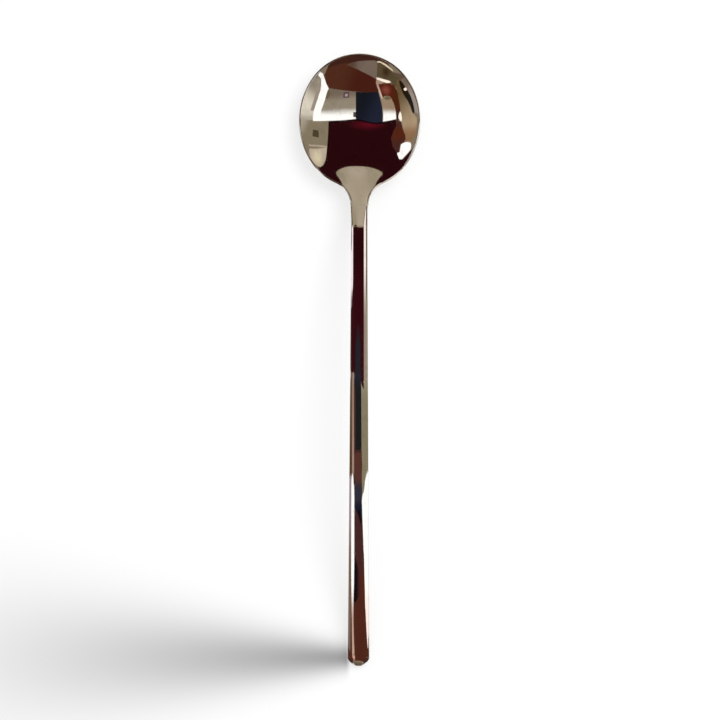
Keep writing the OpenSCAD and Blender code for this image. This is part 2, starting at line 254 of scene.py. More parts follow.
def bar_half_width(s):
    t = max(0, (s - shoulder) / (plug_start - shoulder))
    return mix(handle_start_width, handle_end_width, t ** width_growth) / 2


def neck_half_width(s):
    return mix(neck_width / 2, bar_half_width(s), bar_share(s))


def bar_bevel(s):
    return bevel_share * bar_half_width(max(s, shoulder))


def edge_width(s, rim_round):
    return mix(rim_round, bar_bevel(s), bar_share(s))


def edge_drop(s):
    return mix(rim_round_height, bar_bevel(s) * tan(bevel_angle), bar_share(s))


def outline(a):
    """Point and outward normal of the bowl's outline, at an angle from its tip."""
    q = 1 - outline_squareness * cos(a) ** 2
    grow = cos(a) / sqrt(q) - outline_squareness * cos(a) * sin(a) ** 2 / q ** 1.5
    nx, ny = half_length * sin(a), half_width * grow
    length = hypot(nx, ny)
    return (half_width * sin(a) / sqrt(q), bowl_y + half_length * cos(a)), (nx / length, ny / length)


def heel_angle_by_halving():
    """Angle at which the neck's fillet touches the bowl's outline."""
    low, high = pi / 2, pi
    for _ in range(halvings):
        a = (low + high) / 2
        point, normal = outline(a)
        if point[0] + neck_fillet * normal[0] > neck_width / 2 + neck_fillet:
            low = a
        else:
            high = a
    return low


heel_angle = heel_angle_by_halving()
heel_point, heel_normal = outline(heel_angle)
fillet_x = heel_point[0] + neck_fillet * heel_normal[0]
fillet_y = heel_point[1] + neck_fillet * heel_normal[1]
fillet_turn = atan2(-heel_normal[1], -heel_normal[0])
if fillet_turn < 0:
    fillet_turn += 2 * pi

side = [(heel_point, heel_normal)]
for i in range(1, fillet_steps + 1):
    a = mix(fillet_turn, pi, i / fillet_steps)
    side.append(((fillet_x + neck_fillet * cos(a), fillet_y + neck_fillet * sin(a)), (-cos(a), -sin(a))))
for i in range(1, neck_steps + 1):
    s = mix(tip_y - fillet_y, shoulder, i / neck_steps)
    side.append(((neck_half_width(s), tip_y - s), (1, 0)))
side_rows = len(side) - 1
ring_count = rim_steps + heel_steps


def ring_angle(i):
    if i <= rim_steps:
        return mix(-heel_angle, heel_angle, i / rim_steps)
    return mix(heel_angle, 2 * pi - heel_angle, (i - rim_steps) / heel_steps)


def softness(s):
    return mix(rim_softness, ridge_softness, bar_share(s))


def moved_in(point, normal, distance):
    return point[0] - distance * normal[0], point[1] - distance * normal[1]


class Face:
    """Points of one face of the bowl and neck: a square core, rings round it, rows down the neck."""

    core = ring_count // 4
    first_corner = rim_steps // 2 - core // 2

    def __init__(self, first, rim_round, height):
        self.first = first
        rim = []
        for i in range(ring_count):
            point, normal = outline(ring_angle(i))
            rim.append(moved_in(point, normal, rim_round + rim_softness))
        inner = [self.core_edge(i, rim[i]) for i in range(ring_count)]
        plan = [self.core_point(i, j, inner) for i in range(1, self.core) for j in range(1, self.core)]
        self.ring_start = len(plan)
        for r in range(bowl_rings + 1):
            t = 1 - (1 - r / bowl_rings) ** rim_crowding
            plan += [(mix(q[0], p[0], t), mix(q[1], p[1], t)) for q, p in zip(inner, rim)]
        self.row_start = len(plan)
        last = rim[rim_steps]
        for i in range(1, side_rows + 1):
            s = tip_y - side[i][0][1]
            q = moved_in(*side[i], edge_width(s, rim_round) + softness(s))
            left = max(0, 1 - i / fillet_steps) ** 2
            for k in range(heel_steps + 1):
                p = rim[(rim_steps + k) % ring_count]
                plan.append((q[0] * p[0] / last[0], q[1] + left * (p[1] - last[1])))
        self.points = [(x, y, height(x, y)) for x, y in plan]

    def core_edge(self, i, rim_point):
        """Point of the core's edge on the way from the middle of the bowl to a point of its rim."""
        along = ((i - self.first_corner) % self.core) / self.core * 2 - 1
        share = core_share * (1 + core_squareness * along * along)
        return mix(0, rim_point[0], share), mix(bowl_y, rim_point[1], share)

    def core_ring_index(self, i, j):
        """Place on the rings of a point on the core's edge."""
        n, c = self.core, self.first_corner
        if j == n:
            return (c + i) % ring_count
        if i == n:
            return (c + 2 * n - j) % ring_count
        if j == 0:
            return (c + 3 * n - i) % ring_count
        return (c + 3 * n + j) % ring_count

    def core_point(self, i, j, edge):
        n = self.core
        u, v = i / n, j / n
        low, high = edge[self.core_ring_index(i, 0)], edge[self.core_ring_index(i, n)]
        left, right = edge[self.core_ring_index(0, j)], edge[self.core_ring_index(n, j)]
        corners = [edge[self.core_ring_index(a, b)] for a, b in ((0, 0), (n, 0), (0, n), (n, n))]
        shares = [(1 - u) * (1 - v), u * (1 - v), (1 - u) * v, u * v]
        return tuple(mix(low[k], high[k], v) + mix(left[k], right[k], u)
                     - sum(c[k] * share for c, share in zip(corners, shares)) for k in (0, 1))

    def ring_at(self, r, i):
        return self.first + self.ring_start + r * ring_count + i % ring_count

    def row_at(self, i, k):
        if i == 0:
            return self.ring_at(bowl_rings, rim_steps + k)
        return self.first + self.row_start + (i - 1) * (heel_steps + 1) + k

    def core_at(self, i, j):
        n = self.core
        if i in (0, n) or j in (0, n):
            return self.ring_at(0, self.core_ring_index(i, j))
        return self.first + (i - 1) * (n - 1) + j - 1

    def border(self):
        return ([self.row_at(i, heel_steps) for i in range(side_rows, 0, -1)]
                + [self.ring_at(bowl_rings, i) for i in range(rim_steps + 1)]
                + [self.row_at(i, 0) for i in range(1, side_rows + 1)])

    def faces(self):
        n = self.core
        found = strips([[self.core_at(i, j) for j in range(n + 1)] for i in range(n + 1)])
        found += strips([[self.ring_at(r, i) for i in range(ring_count + 1)] for r in range(bowl_rings + 1)])
        found += strips([[self.row_at(i, k) for k in range(heel_steps + 1)] for i in range(side_rows + 1)])
        return found


def strips(rows):
    """Four-sided faces between rows of point numbers."""
    return [(a[i], a[i + 1], b[i + 1], b[i]) for a, b in zip(rows, rows[1:]) for i in range(len(a) - 1)]


def arc(start, corner, end, steps):
    """Points on the rounding of a corner, without its first point."""
    found = []
    for i in range(1, steps + 1):
        t = i / steps
        shares = (1 - t) ** 2, 2 * t * (1 - t), t * t
        found.append(tuple(sum(share * p[k] for share, p in zip(shares, (start, corner, end)))
                           for k in range(len(start))))
    return found


def bevel_row(top, foot, share, bulge, up):
    """A point part of the way down a bevel, which bulges a little where it rolls over to the edge."""
    row = [mix(a, b, share) for a, b in zip(top, foot)]
    row[-1] -= up * bulge
    return tuple(row)


def edge_rows(s, rim_round, border_height, ridge_height, up):
    """(distance from the outline, height) down one side of the edge, from its ridge to the side wall."""
    wide, drop, soft = edge_width(s, rim_round), edge_drop(s), softness(s)
    border = (wide + soft, border_height)
    across, down = soft * cos(bevel_angle), soft * sin(bevel_angle)
    ridge = (wide, ridge_height)
    bevel_top = (wide - across, ridge_height + up * down)
    bevel_foot = (across, ridge_height + up * (drop - down))
    bar = arc(border, ridge, bevel_top, arc_steps)
    bar += [bevel_row(bevel_top, bevel_foot, *row, up) for row in bevel_rows]
    bar += arc(bevel_foot, (0, ridge_height + up * drop), (0, ridge_height + up * (drop + soft)), arc_steps)
    count = len(bar)
    if up < 0:
        turn = asin(soft / wide)
        rim = arc(border, ridge, (wide - soft, ridge_height - drop * (1 - cos(turn))), arc_steps)
        for k in range(1, count - arc_steps + 1):
            a = mix(turn, pi / 2, k / (count - arc_steps))
            rim.append((wide * (1 - sin(a)), ridge_height - drop * (1 - cos(a))))
    else:
        slope = (ridge_height - border_height) / soft
        rise = min(rim_rise_share * drop, slope * wide)
        rim = arc(border, (0, ridge_height + rise), (0, ridge_height + drop), count)
    return [tuple(mix(a, b, bar_share(s)) for a, b in zip(p, q)) for p, q in zip(rim, bar)]


front = Face(0, rim_inner_round, front_height)
back = Face(len(front.points), rim_outer_round, back_height)
mirrored_side = [((-p[0], p[1]), (-n[0], n[1])) for p, n in side]
border_side = mirrored_side[:0:-1] + [outline(ring_angle(i)) for i in range(rim_steps + 1)] + side[1:]
bowl_points = front.points + back.points
bowl_wear = [0.0] * len(bowl_points)
edge_numbers = []
for (point, normal), front_number, back_number in zip(border_side, front.border(), back.border()):
    s = tip_y - point[1]
    front_ridge = moved_in(point, normal, edge_width(s, rim_inner_round))
    back_ridge = moved_in(point, normal, edge_width(s, rim_outer_round))
    upper = edge_rows(s, rim_inner_round, bowl_points[front_number][2], front_height(*front_ridge), -1)
    lower = edge_rows(s, rim_outer_round, bowl_points[back_number][2], back_height(*back_ridge), 1)
    wall = [tuple(mix(a, b, k / (wall_steps + 1)) for a, b in zip(upper[-1], lower[-1]))
            for k in range(1, wall_steps + 1)]
    column = [front_number]
    for w, z in upper + wall + lower[::-1]:
        column.append(len(bowl_points))
        bowl_points.append((*moved_in(point, normal, w), z))
    worn = [ridge_wear] * arc_steps + [edge_wear] * (len(upper) - arc_steps)
    bowl_wear += worn + [wall_wear] * wall_steps + worn[::-1]
    edge_numbers.append(column + [back_number])

bowl_faces = front.faces() + back.faces() + strips(edge_numbers)
end_loop = ([front.row_at(side_rows, k) for k in range(heel_steps + 1)] + edge_numbers[0][1:-1]
            + [back.row_at(side_rows, k) for k in range(heel_steps, -1, -1)] + edge_numbers[-1][-2:0:-1])
tang_wall = shell_wall + fit_gap
shoulder_middle = (front_line(shoulder) + back_line(shoulder)) / 2
tang_loops = [end_loop]
for i in range(tang_steps + 1):
    s = shoulder + tang_length * i / tang_steps
    thick = front_line(s) - back_line(s)
    narrow = (bar_half_width(s) - tang_wall) / bar_half_width(shoulder)
    thin = (thick - 2 * tang_wall) / (front_line(shoulder) - back_line(shoulder))
    middle = (front_line(s) + back_line(s)) / 2
    loop = []
    for number in end_loop:
        x, y, z = bowl_points[number]
        loop.append(len(bowl_points))
        bowl_points.append((x * narrow, tip_y - s, middle + (z - shoulder_middle) * thin))
        bowl_wear.append(0.0)
    tang_loops.append(loop)
bowl_faces += strips([loop + loop[:1] for loop in tang_loops])
bowl_faces.append(tuple(tang_loops[-1]))


def finish_surface(mesh):
    """Turns a mesh's faces outwards and shades it smooth, with its true edges kept sharp."""
    shape = bmesh.new()
    shape.from_mesh(mesh)
    bmesh.ops.recalc_face_normals(shape, faces=shape.faces)
    shape.to_mesh(mesh)
    shape.free()
    mesh.shade_smooth()
    mesh.set_sharp_from_angle(angle=sharp_angle)


def make_piece(name, points, faces, wear, material):
    """A closed piece from points in millimetres, with how worn its surface is at each of them."""
    mesh = bpy.data.meshes.new(name)
    mesh.from_pydata([(x * mm, y * mm, z * mm) for x, y, z in points], [], faces)
    mesh.attributes.new("wear", "FLOAT", "POINT").data.foreach_set("value", wear)
    finish_surface(mesh)
    mesh.materials.append(material)
    piece = bpy.data.objects.new(name, mesh)
    bpy.context.collection.objects.link(piece)
    return piece


def add_node(tree, kind, inputs=None, **settings):
    """A node with its settings, and its inputs set or linked by name."""
    node = tree.nodes.new(kind)
    for name, value in settings.items():
        setattr(node, name, value)
    for name, value in (inputs or {}).items():
        if isinstance(value, bpy.types.NodeSocket):
            tree.links.new(value, node.inputs[name])
        else:
            node.inputs[name].default_value = value
    return node


def calculate(tree, operation, *values):
    """Output of a Math node fed with numbers or sockets."""
    return add_node(tree, "ShaderNodeMath", dict(enumerate(values)), operation=operation).outputs[0]


def new_tree(name, inputs, outputs, kind="GeometryNodeTree"):
    """An empty node group with its named inputs and outputs, each (name, socket type)."""
    tree = bpy.data.node_groups.new(name, kind)
    for direction, sockets in (("INPUT", inputs), ("OUTPUT", outputs)):
        for label, kind in sockets:
            tree.interface.new_socket(label, in_out=direction, socket_type="NodeSocket" + kind)
    return tree, tree.nodes.new("NodeGroupInput").outputs, tree.nodes.new("NodeGroupOutput").inputs


# What the polished metals share is one group of nodes: fine polishing scratches, slight waves,
# smudges, and wear that dulls their edges. Each metal gives it its own amounts.

polish_inputs = [("Scratch Scale", "Float"), ("Scratch Depth", "Float"), ("Wave Scale", "Float"),
                 ("Wave Depth", "Float"), ("Smudge Scale", "Float"), ("Smudge Amount", "Float"),
                 ("Polish", "Float"), ("Wear", "Float"), ("Bright Metal", "Color"), ("Dull Metal", "Color")]
polish, given, result = new_tree("polished_metal_surface", polish_inputs,
                                 [("Color", "Color"), ("Roughness", "Float"), ("Height", "Float")],
                                 "ShaderNodeTree")
place = add_node(polish, "ShaderNodeTexCoord").outputs["Object"]
long_way = add_node(polish, "ShaderNodeMapping", {"Vector": place, "Scale": scratch_stretch}).outputs[0]
cross_way = add_node(polish, "ShaderNodeMapping", {"Vector": place, "Rotation": (0, 0, cross_turn),
                                                   "Scale": scratch_stretch}).outputs[0]


def noise(tree, vector, scale, detail, roughness=0.5):
    """Value of a Noise Texture, from 0 to 1."""
    return add_node(tree, "ShaderNodeTexNoise", {"Vector": vector, "Scale": scale, "Detail": detail,
                                                 "Roughness": roughness}).outputs[0]


def step_between(tree, value, low, high):
    """0 below one value, 1 above another, and smooth between them."""
    return add_node(tree, "ShaderNodeMapRange", {"Value": value, "From Min": low, "From Max": high},
                    interpolation_type="SMOOTHSTEP", clamp=True).outputs[0]


scratches = calculate(polish, "MAXIMUM", noise(polish, long_way, given["Scratch Scale"], scratch_detail),
                      noise(polish, cross_way, given["Scratch Scale"], scratch_detail))
fine_lines = step_between(polish, scratches, *scratch_edge)
waves = noise(polish, place, given["Wave Scale"], wave_detail)
cloudy = noise(polish, place, given["Smudge Scale"], smudge_detail, smudge_grain)
smudges = calculate(polish, "MULTIPLY", step_between(polish, cloudy, *smudge_edge), given["Smudge Amount"])
specks = step_between(polish, noise(polish, place, speck_scale, speck_detail), *speck_edge)
rubbed = calculate(polish, "MULTIPLY", given["Wear"],
                   calculate(polish, "MULTIPLY_ADD", cloudy, wear_patchiness, 1 - wear_patchiness))
dulling = calculate(polish, "ADD", smudges, calculate(polish, "MULTIPLY", specks, given["Smudge Amount"]))
tone = add_node(polish, "ShaderNodeMix", {"Factor": dulling, "A": given["Bright Metal"],
                                          "B": given["Dull Metal"]}, data_type="RGBA")
polish.links.new(tone.outputs[2], result["Color"])
roughness = calculate(polish, "MULTIPLY_ADD", dulling, smudge_roughness, given["Polish"])
roughness = calculate(polish, "MULTIPLY_ADD", rubbed, wear_roughness, roughness)
roughness = calculate(polish, "MULTIPLY_ADD", fine_lines, scratch_roughness, roughness)
polish.links.new(roughness, result["Roughness"])
height = calculate(polish, "MULTIPLY", fine_lines, calculate(polish, "MULTIPLY", given["Scratch Depth"], -1))
polish.links.new(calculate(polish, "MULTIPLY_ADD", waves, given["Wave Depth"], height), result["Height"])


def polished_metal(name, **values):
    """A metal material that wears the shared polish group with its own values."""
    metal = bpy.data.materials.new(name)
    metal.use_nodes = True
    tree = metal.node_tree
    shader = tree.nodes["Principled BSDF"]
    shader.inputs["Metallic"].default_value = 1
    wear = add_node(tree, "ShaderNodeAttribute", attribute_name="wear").outputs["Fac"]
    group = tree.nodes.new("ShaderNodeGroup")
    group.node_tree = polish
    for label, _ in polish_inputs:
        if label == "Wear":
            tree.links.new(wear, group.inputs[label])
        else:
            group.inputs[label].default_value = values[label.lower().replace(" ", "_")]
    bump = add_node(tree, "ShaderNodeBump", {"Height": group.outputs["Height"], "Distance": bump_distance,
                                             "Strength": 1})
    tree.links.new(group.outputs["Color"], shader.inputs["Base Color"])
    tree.links.new(group.outputs["Roughness"], shader.inputs["Roughness"])
    tree.links.new(bump.outputs["Normal"], shader.inputs["Normal"])
    return metal


steel = polished_metal("mirror_polished_steel", scratch_scale=900, scratch_depth=0.008, wave_scale=70,
                       wave_depth=0.7, smudge_scale=260, smudge_amount=0.8, polish=0.035,
                       bright_metal=(0.67, 0.65, 0.62, 1), dull_metal=(0.59, 0.575, 0.545, 1))

bowl = make_piece("pressed_bowl", bowl_points, bowl_faces, bowl_wear, steel)
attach(bowl, "root")
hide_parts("bowl")


# Neck solder
# A ring of silver solder that joins the neck's shoulder to the mouth of the two half shells.
# It is filed flush and polished with them, so it shows as a hairline round the neck.

solder_thickness = 0.2
solder_sink = 0.02
face_rows = [0, 0.2, 0.4, 0.6, 0.8, 0.96, 1]
side_support = 0.05
shell_start = shoulder + solder_thickness


def shifted(row, across, up):
    """A corner of the handle's section, moved by plain lengths."""
    return (row[0], row[1] + across, *row[2:5], row[5] + up, row[6])


def half_section(is_front, wall, gap):
    """Corners of one half of the section, from its middle to its seam, moved in by a wall.

    Each is (share of half width, offset, crown share, face share, bevel share, offset, wear).
    """
    up, face = (-1, 1) if is_front else (1, 0)
    across, down = ridge_softness * cos(bevel_angle), up * ridge_softness * sin(bevel_angle)
    middle = (0, 0, face, face, 0, up * wall, 0)
    ridge = (1 - bevel_share, -wall * tan(bevel_angle / 2), face, face, 0, up * wall, 1)
    edge = (1, -wall, face, face, up * bevel_share * tan(bevel_angle),
            up * wall * tan((pi / 2 - bevel_angle) / 2), 1)
    seam = (1, -wall, 0.5, 0.5, 0, -up * gap / 2, 0)
    ridge_start = shifted(ridge, -ridge_softness, 0)
    bevel_top, bevel_foot = shifted(ridge, across, down), shifted(edge, -across, -down)
    side_top = shifted(edge, 0, up * ridge_softness)
    rows = [tuple(mix(a, b, t) for a, b in zip(middle, ridge_start)) for t in face_rows]
    rows += arc(ridge_start, ridge, bevel_top, arc_steps)
    rows += [bevel_row(bevel_top[:6], bevel_foot[:6], *row, up) + (bevel_top[6],) for row in bevel_rows]
    rows += arc(bevel_foot, edge, side_top, arc_steps)
    rows.append(tuple(mix(a, b, side_support) for a, b in zip(side_top, seam)))
    return rows + [seam]


def across_section(is_front, wall, gap=0):
    """The same from the left seam over the middle to the right seam."""
    half = half_section(is_front, wall, gap)
    return [(-row[0], -row[1], *row[2:]) for row in half[:0:-1]] + half


def whole_section(wall):
    return across_section(True, wall)[1:-1] + across_section(False, wall)[-2:0:-1]


def section_point(row, s):
    share, offset, crown, face, bevel, height, _ = row
    w = bar_half_width(s)
    x = share * w + offset
    crown *= min(abs(x), (1 - bevel_share) * w) ** 2 / (2 * crown_radius)
    return x, tip_y - s, mix(back_line(s), front_line(s), face) + bevel * w + height - crown


def solder_ring(name, start, end):
    """A ring between two places along the handle, sunk a little in its middle."""
    loops = [(start, 0), ((start + end) / 2, solder_sink), (end, 0), (end, shell_wall), (start, shell_wall)]
    points = [section_point(row, s) for s, wall in loops for row in whole_section(wall)]
    n = len(points) // len(loops)
    rows = [[r % len(loops) * n + k % n for k in range(n + 1)] for r in range(len(loops) + 1)]
    return make_piece(name, points, strips(rows), [0] * len(points), solder)


solder = polished_metal("silver_solder_finish", scratch_scale=900, scratch_depth=0.006, wave_scale=300,
                        wave_depth=0.1, smudge_scale=400, smudge_amount=0.8, polish=0.1,
                        bright_metal=(0.73, 0.69, 0.61, 1), dull_metal=(0.62, 0.57, 0.49, 1))

neck_ring = solder_ring("neck_solder_ring", shoulder, shell_start)
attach(neck_ring, "root")
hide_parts("neck_solder")


# Front and back half shells of the handle
# Two long half shells of 0.6 mm stainless sheet, pressed with a bevel along each side.
# They meet edge to edge, and the front one has a slightly crowned face.

seam_thickness = 0.1
merge_distance = 0.0001
shell_stations = 150
shell_end = plug_start - solder_thickness

size_inputs = [("Start Width", "Float"), ("End Width", "Float"), ("Width Growth", "Float"),
               ("Crown Radius", "Float"), ("Ridge Share", "Float")]
placing, given, result = new_tree(
    "place_on_handle",
    [("Rail", "Geometry"), ("Section", "Geometry"), ("Station", "Int"), ("Corner", "Int"), *size_inputs],
    [("Position", "Vector"), ("Wear", "Float")])


def sampled(geometry, name, index, kind="FLOAT_VECTOR"):
    """An attribute of a rail or section point, split into its numbers."""
    value = add_node(placing, "GeometryNodeInputNamedAttribute", {"Name": name}, data_type=kind)
    sample = add_node(placing, "GeometryNodeSampleIndex",
                      {"Geometry": given[geometry], "Index": given[index]}, data_type=kind, domain="POINT")
    placing.links.new(value.outputs["Attribute"], sample.inputs["Value"])
    if kind == "FLOAT":
        return sample.outputs["Value"]
    return add_node(placing, "ShaderNodeSeparateXYZ", {0: sample.outputs["Value"]}).outputs


along, front_level, back_level = sampled("Rail", "levels", "Station")
station_y = sampled("Rail", "place", "Station")[1]
width_share, width_offset, crown_share = sampled("Section", "across", "Corner")
face_share, bevel_part, height_offset = sampled("Section", "upright", "Corner")
growth = calculate(placing, "POWER", along, given["Width Growth"])
wider = calculate(placing, "SUBTRACT", given["End Width"], given["Start Width"])
full = calculate(placing, "MULTIPLY_ADD", wider, growth, given["Start Width"])
half = calculate(placing, "MULTIPLY", full, 0.5)
corner_x = calculate(placing, "MULTIPLY_ADD", width_share, half, width_offset)
crown_x = calculate(placing, "MINIMUM", calculate(placing, "ABSOLUTE", corner_x),
                    calculate(placing, "MULTIPLY", half, given["Ridge Share"]))
crown_drop = calculate(placing, "DIVIDE", calculate(placing, "MULTIPLY", crown_x, crown_x),
                       calculate(placing, "MULTIPLY", given["Crown Radius"], 2))
thickness = calculate(placing, "SUBTRACT", front_level, back_level)
level = calculate(placing, "MULTIPLY_ADD", thickness, face_share, back_level)
level = calculate(placing, "MULTIPLY_ADD", bevel_part, half, level)
level = calculate(placing, "ADD", level, height_offset)
level = calculate(placing, "SUBTRACT", level, calculate(placing, "MULTIPLY", crown_share, crown_drop))
placed = add_node(placing, "ShaderNodeCombineXYZ", {0: corner_x, 1: station_y, 2: level}).outputs[0]
placing.links.new(placed, result["Position"])
placing.links.new(sampled("Section", "worn", "Corner", "FLOAT"), result["Wear"])

lofting, given_sizes, lofted = new_tree(
    "loft_along_handle",
    [("Rail", "Geometry"), ("Section", "Object"), *size_inputs, ("Both Sides", "Bool"),
     ("Material", "Material")],
    [("Geometry", "Geometry")])
section_info = add_node(lofting, "GeometryNodeObjectInfo", {"Object": given_sizes["Section"]})
section_geometry = section_info.outputs["Geometry"]
station_count = add_node(lofting, "GeometryNodeAttributeDomainSize",
                         {"Geometry": given_sizes["Rail"]}).outputs["Point Count"]
corner_count = add_node(lofting, "GeometryNodeAttributeDomainSize",
                        {"Geometry": section_geometry}).outputs["Point Count"]
point_index = add_node(lofting, "GeometryNodeInputIndex").outputs[0]


def placed_grid(rows, columns, station, corner):
    """A grid of points, each put on the handle by its station and its corner of the section."""
    grid = add_node(lofting, "GeometryNodeMeshGrid", {"Vertices X": rows, "Vertices Y": columns})
    place = add_node(lofting, "GeometryNodeGroup", node_tree=placing)
    for name, value in (("Rail", given_sizes["Rail"]), ("Section", section_geometry),
                        ("Station", station), ("Corner", corner)):
        lofting.links.new(value, place.inputs[name])
    for name, _ in size_inputs:
        lofting.links.new(given_sizes[name], place.inputs[name])
    worn = add_node(lofting, "GeometryNodeStoreNamedAttribute",
                    {"Geometry": grid.outputs["Mesh"], "Name": "wear", "Value": place.outputs["Wear"]},
                    data_type="FLOAT", domain="POINT")
    moved = add_node(lofting, "GeometryNodeSetPosition",
                     {"Geometry": worn.outputs["Geometry"], "Position": place.outputs["Position"]})
    return moved.outputs["Geometry"]


columns = calculate(lofting, "ADD", corner_count, 1)
column = calculate(lofting, "MODULO", calculate(lofting, "MODULO", point_index, columns), corner_count)
station = calculate(lofting, "FLOOR", calculate(lofting, "DIVIDE", point_index, columns))
grids = [placed_grid(station_count, columns, station, column)]
half_count = calculate(lofting, "DIVIDE", corner_count, 2)
cap_corner = calculate(lofting, "MODULO", point_index, half_count)
cap_row = calculate(lofting, "FLOOR", calculate(lofting, "DIVIDE", point_index, half_count))
opposite = calculate(lofting, "SUBTRACT", calculate(lofting, "SUBTRACT", corner_count, 1),
                     calculate(lofting, "MULTIPLY", cap_corner, 2))
cap_corner = calculate(lofting, "MULTIPLY_ADD", cap_row, opposite, cap_corner)
last_station = calculate(lofting, "SUBTRACT", station_count, 1)
for cap_station in (calculate(lofting, "MULTIPLY", last_station, 0), last_station):
    grids.append(placed_grid(2, half_count, cap_station, cap_corner))
joined = add_node(lofting, "GeometryNodeJoinGeometry")
for grid in grids:
    lofting.links.new(grid, joined.inputs["Geometry"])
merged = add_node(lofting, "GeometryNodeMergeByDistance",
                  {"Geometry": joined.outputs["Geometry"], "Distance": merge_distance * mm})
one_side = merged.outputs["Geometry"]
other_side = add_node(lofting, "GeometryNodeTransform", {"Geometry": one_side, "Scale": (-1, 1, 1)})
both = add_node(lofting, "GeometryNodeJoinGeometry")
for geometry in (one_side, other_side.outputs["Geometry"]):
    lofting.links.new(geometry, both.inputs["Geometry"])
chosen = add_node(lofting, "GeometryNodeSwitch",
                  {"Switch": given_sizes["Both Sides"], "False": one_side, "True": both.outputs["Geometry"]},
                  input_type="GEOMETRY")
realized = add_node(lofting, "GeometryNodeRealizeInstances", {"Geometry": chosen.outputs["Output"]})
finished = add_node(lofting, "GeometryNodeSetMaterial",
                    {"Geometry": realized.outputs["Geometry"], "Material": given_sizes["Material"]})
lofting.links.new(finished.outputs["Geometry"], lofted["Geometry"])


def points_object(name, points, attributes):
    """Loose points with named vector or number attributes."""
    mesh = bpy.data.meshes.new(name)
    mesh.from_pydata(points, [], [])
    for label, values in attributes.items():
        if isinstance(values[0], tuple):
            flat = [number for value in values for number in value]
            mesh.attributes.new(label, "FLOAT_VECTOR", "POINT").data.foreach_set("vector", flat)
        else:
            mesh.attributes.new(label, "FLOAT", "POINT").data.foreach_set("value", values)
    points_holder = bpy.data.objects.new(name, mesh)
    bpy.context.collection.objects.link(points_holder)
    return points_holder


def lofted_piece(name, section, both_sides, material):
    """A closed piece that follows the handle's rail with one section, made by the loft tree."""
    stations = [mix(shell_start, shell_end, i / (shell_stations - 1)) for i in range(shell_stations)]
    places = [(0, (tip_y - s) * mm, front_line(s) * mm) for s in stations]
    levels = [((s - shoulder) / (plug_start - shoulder), front_line(s) * mm, back_line(s) * mm)
              for s in stations]
    piece = points_object(name, places, {"place": places, "levels": levels})
    outline_points = points_object(name + "_section", [(0, 0, 0)] * len(section), {
        "across": [(row[0], row[1] * mm, row[2]) for row in section],
        "upright": [(row[3], row[4], row[5] * mm) for row in section],
        "worn": [row[6] for row in section]})
    loft = piece.modifiers.new("loft", "NODES")
    loft.node_group = lofting
    values = {"Section": outline_points, "Start Width": handle_start_width * mm,
              "End Width": handle_end_width * mm, "Width Growth": width_growth,
              "Crown Radius": crown_radius * mm, "Ridge Share": 1 - bevel_share,
              "Both Sides": both_sides, "Material": material}
    for item in lofting.interface.items_tree:
        if item.in_out == "INPUT" and item.name in values:
            loft[item.identifier] = values[item.name]
    evaluated = piece.evaluated_get(bpy.context.evaluated_depsgraph_get())
    mesh = bpy.data.meshes.new_from_object(evaluated)
    piece.modifiers.remove(loft)
    mesh.materials.pop(index=0)
    piece.data = mesh
    bpy.data.objects.remove(outline_points)
    finish_surface(mesh)
    return piece


front_section = (across_section(True, 0, seam_thickness)
                 + across_section(True, shell_wall, seam_thickness)[::-1])
front_shell = lofted_piece("front_handle_shell", front_section, False, steel)
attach(front_shell, "root")
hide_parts("handle_front_shell")

back_section = (across_section(False, 0, seam_thickness)
                + across_section(False, shell_wall, seam_thickness)[::-1])
back_shell = lofted_piece("back_handle_shell", back_section, False, steel)
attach(back_shell, "root")
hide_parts("handle_back_shell")


# Seam solder
# Two thin strips of silver solder, one along each side of the handle between the half shells.
# They are drawn in as the shells are heated, then filed flush and polished.

seam_sink = 0.01

seam_section = [(1, -inset, 0.5, 0.5, 0, level, 0) for inset, level in (
    (shell_wall, -seam_thickness / 2), (shell_wall, seam_thickness / 2),
    (seam_sink, seam_thickness / 2), (seam_sink, -seam_thickness / 2))]
seams = lofted_piece("side_seam_solder", seam_section, True, solder)
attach(seams, "root")
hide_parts("seam_solder")


# End solder
# A ring of the same silver solder, between the far end of the half shells and the end plug.
# It is filed flush and polished with them too.

end_ring = solder_ring("end_solder_ring", shell_end, plug_start)
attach(end_ring, "root")
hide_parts("end_solder")


# End plug
# A solid stainless plug that closes the handle, pushed in on its spigot and soldered.
# It narrows to a small flat, with a short bevel on its front and back, all edges eased.

plug_tip_width = 2.9
plug_bevel_depth = 0.9
spigot_length = 6
spigot_steps = 3
narrowing_power = 1.9
plug_stations = [0, 0.03, 0.06, 0.12, 0.2, 0.3, 0.4, 0.47, 0.49, 0.51, 0.55, 0.65, 0.75, 0.85, 0.92]
end_arc = [(0.14, 0), (0.08, 0.02), (0.03, 0.06), (0, 0.14)]


def plug_point(row, s, inset):
    """A corner of the plug's section at a place along it, moved in by the rounding of its end."""
    x, y, z = section_point(row, s)
    along_plug = (s - plug_start) / plug_length
    narrow = mix(1, plug_tip_width / handle_end_width, along_plug ** narrowing_power)
    cut = plug_bevel_depth * max(0, s - tail_end) / plug_bevel_length + inset
    level = (section_point(front_section[0], s)[2] + section_point(back_section[0], s)[2]) / 2
    half_height = front_line(s) - level
    w = bar_half_width(s) * narrow
    return x * narrow * (w - inset) / w, y, level + (z - level) * (half_height - cut) / half_height


